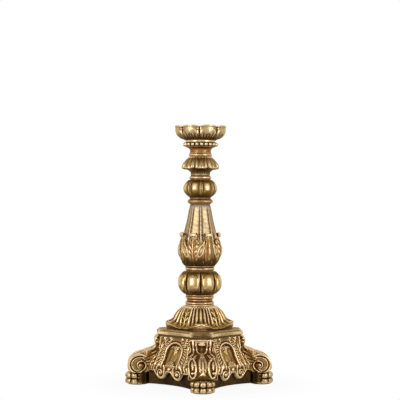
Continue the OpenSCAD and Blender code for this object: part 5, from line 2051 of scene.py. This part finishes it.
@dataclass
class Studio:
    """A pale studio: an even glow, a floor, two tall soft boxes and the camera.

    Attributes:
        distance, swing, eye: The camera's distance in metres, its bearing left of the
            front in degrees, and its height in metres.
        roll, lens, shift: Its roll in degrees, focal length in millimetres and shift.
        whiteness: How white the floor looks near the stand, from 0 to 1.
        shadow_fade: Distances from the axis, in millimetres, over which it turns white.
    """

    distance: float = 2.841
    swing: float = 2.9
    eye: float = 0.4248
    roll: float = -0.3
    lens: float = 109.7
    shift: Point = (-0.0005, 0.0022)
    whiteness: float = 0.92
    shadow_fade: Point = (150.0, 330.0)

    def seen(self, g: Graph) -> Sock:
        """Tell sight from soft light.

        Args:
            g: Graph of a material or world.

        Returns:
            1 for sight, reflection and transmission, and 0 for soft light.
        """
        sight, gloss, glass = (g.node("ShaderNodeLightPath", output=f"Is {ray} Ray")
                               for ray in ("Camera", "Glossy", "Transmission"))
        return (sight + gloss + glass).between()

    def white_for_sight(self, g: Graph, dim: Value, strength: float) -> Sock:
        """White to sight and reflection, and dim to soft light."""
        return g.blend(self.seen(g), dim, (strength, strength, strength, 1.0))

    def world(self) -> None:
        """Light the scene from all round."""
        scene = bpy.context.scene
        scene.world = bpy.data.worlds.new("studio")
        scene.world.use_nodes = True
        g = Graph(scene.world.node_tree)
        g.tree.nodes.clear()
        colour = self.white_for_sight(g, (0.42, 0.42, 0.44, 1.0), 1.0)
        light = g.node("ShaderNodeBackground", None, {"Color": colour, "Strength": 1.0})
        g.node("ShaderNodeOutputWorld", None, {"Surface": light})

    def floor(self) -> None:
        """Lay a pale floor that keeps the stand's shadow."""
        mesh = bpy.data.meshes.new("studio_floor")
        mesh.from_pydata([(-6, -6, 0), (6, -6, 0), (6, 6, 0), (-6, 6, 0)], [], [(0, 1, 2, 3)])
        g = ShaderGraph("studio_paper")
        paper = g.node("ShaderNodeBsdfPrincipled", None, {
            "Base Color": g.blend(g.noise(400.0), (0.90, 0.90, 0.90, 1.0), (0.93, 0.93, 0.93, 1.0)),
            "Roughness": 0.9})
        white = g.node("ShaderNodeEmission", None,
                       {"Color": self.white_for_sight(g, (0.0, 0.0, 0.0, 1.0), 1.0)})
        far = g.ease(g.node("ShaderNodeVectorMath", {"operation": "LENGTH"}, {0: g.place}, "Value"),
                     *self.shadow_fade)
        glow = g.node("ShaderNodeMixShader", None,
                      {0: self.seen(g) * (far * (1.0 - self.whiteness) + self.whiteness), 1: paper, 2: white})
        g.node("ShaderNodeOutputMaterial", None, {"Surface": glow})
        mesh.materials.append(g.material)
        floor = bpy.data.objects.new("studio_floor", mesh)
        bpy.context.scene.collection.objects.link(floor)

    def camera(self) -> None:
        """Set up the photograph's viewpoint."""
        lens = bpy.data.cameras.new("photo_view")
        lens.sensor_width = 36.0
        lens.lens = self.lens
        lens.shift_x, lens.shift_y = self.shift
        rig = bpy.data.objects.new("photo_view", lens)
        a = math.radians(self.swing)
        rig.location = (-math.sin(a) * self.distance, -math.cos(a) * self.distance, self.eye)
        rig.rotation_euler = Euler((math.radians(90.0), math.radians(self.roll), -a), "XYZ")
        bpy.context.scene.collection.objects.link(rig)
        bpy.context.scene.camera = rig

    def build(self) -> None:
        """Make the whole studio."""
        bpy.context.scene.view_settings.view_transform = "Standard"
        self.world()
        self.floor()
        for box in SOFT_BOXES:
            box.build()
        self.camera()


# ---- Putting it together ----

GOLD = GiltFinish("antique_gilding", *palette(0x8E6C38, 0xECCEA0, 0x925C36, 0x6E5E22, 0x321C06), rub=1.1,
                  depth=1.2)
PAW = GiltFinish("dark_gilding", *palette(0x765A2E, 0xD6B88C, 0x7E4C2A, 0x5C4E22, 0x281705), rub=0.85,
                 depth=1.3, gloss=0.3)
PALE = GiltFinish("pale_gilding", *palette(0xA2865C, 0xDECEBA, 0xA0724E, 0x8A7A50, 0x543C1E), depth=0.9,
                  gloss=0.4, mottle=0.2, tooth=0.12)
CARVED = GiltFinish("carved_gilding", *palette(0xA07E4C, 0xF0D2A8, 0xA46A3C, 0x806E34, 0x482E10), rub=1.2)
LEAF = GiltFinish("leaf_gilding", *palette(0x906E3A, 0xEED2A8, 0x9E6030, 0x6E5E22, 0x321C06),
                  bole_share=0.55, rub=1.25, depth=1.2)
BRIGHT = GiltFinish("burnished_gilding", *palette(0x947240, 0xEAD0A8, 0x9A6436, 0x766428, 0x362008),
                    depth=1.1, gloss=0.25)
OLIVE = GiltFinish("olive_gilding", *palette(0x88622A, 0xF0D29C, 0x925624, 0x6E5C1A, 0x361C06), depth=1.2)
WORN = GiltFinish("worn_gilding", *palette(0x9E7842, 0xECCEA0, 0x9A5C2E, 0x806228, 0x3C1E08), bole_share=0.6,
                  rub=1.5, depth=1.2, gloss=0.26)
STAIN = PlainFinish("dark_stain", *palette(0x543C18, 0x1E1104), 6.0, (1.0, 1.0, 0.6), 0.0, 0.7, 0.2, 0.1)
LIME = PlainFinish("bare_limewood", *palette(0xC4A074, 0x96704A), 1.2, (1.0, 1.0, 0.12), 0.0, 0.65, 0.12)
BRASS = PlainFinish("aged_brass", *palette(0xBA9C60, 0x826438), 1.6, (1.0, 1.0, 1.0), 0.9, 0.38, 0.05)
ZINC = PlainFinish("zinc_plate", *palette(0xCECECA, 0xA0A09E), 0.8, (1.0, 1.0, 1.0), 1.0, 0.36, 0.03)
FELT = PlainFinish("wool_felt", *palette(0x4A3C30, 0x2A221C), 0.5, (1.0, 1.0, 1.0), 0.0, 0.95, 0.3)

FRAME_FINISHES = {
    STAIN: ("plinth",), LIME: ("base_core", "leg_dowels"), BRASS: ("candle_pan",), FELT: ("felt_pads",),
    ZINC: ("tie_rod", "top_nut", "top_washer", "bottom_nut", "bottom_washer", "paw_screws", "plinth_screws"),
}


def paint_frame() -> None:
    """Give the frame nodes that stay in view their finishes."""
    for finish, names in FRAME_FINISHES.items():
        material = finish.material()
        for name in names:
            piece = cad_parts[name]
            piece.data.materials.clear()
            piece.data.materials.append(material)


def main() -> None:
    """Build the stand and its studio."""
    logging.basicConfig(level=logging.INFO, format="%(name)s: %(message)s")
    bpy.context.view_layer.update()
    gold, carved, bright, leaf = (finish.material() for finish in (GOLD, CARVED, BRIGHT, LEAF))
    parts = (Paws(PAW.material()), ScrollLegs(carved), Panels(carved), TopPlate(gold), ShellFoot(gold),
             ClaspLeaves(leaf), Sepals(leaf), TurnedRings(WORN.material()), LobedKnops(OLIVE.material()),
             Vase(PALE.material()), Canopy(bright), BeadRing(bright), PetalCup(bright))
    for part in parts:
        part.build()
    paint_frame()
    Studio().build()


if __name__ == "__main__":
    main()
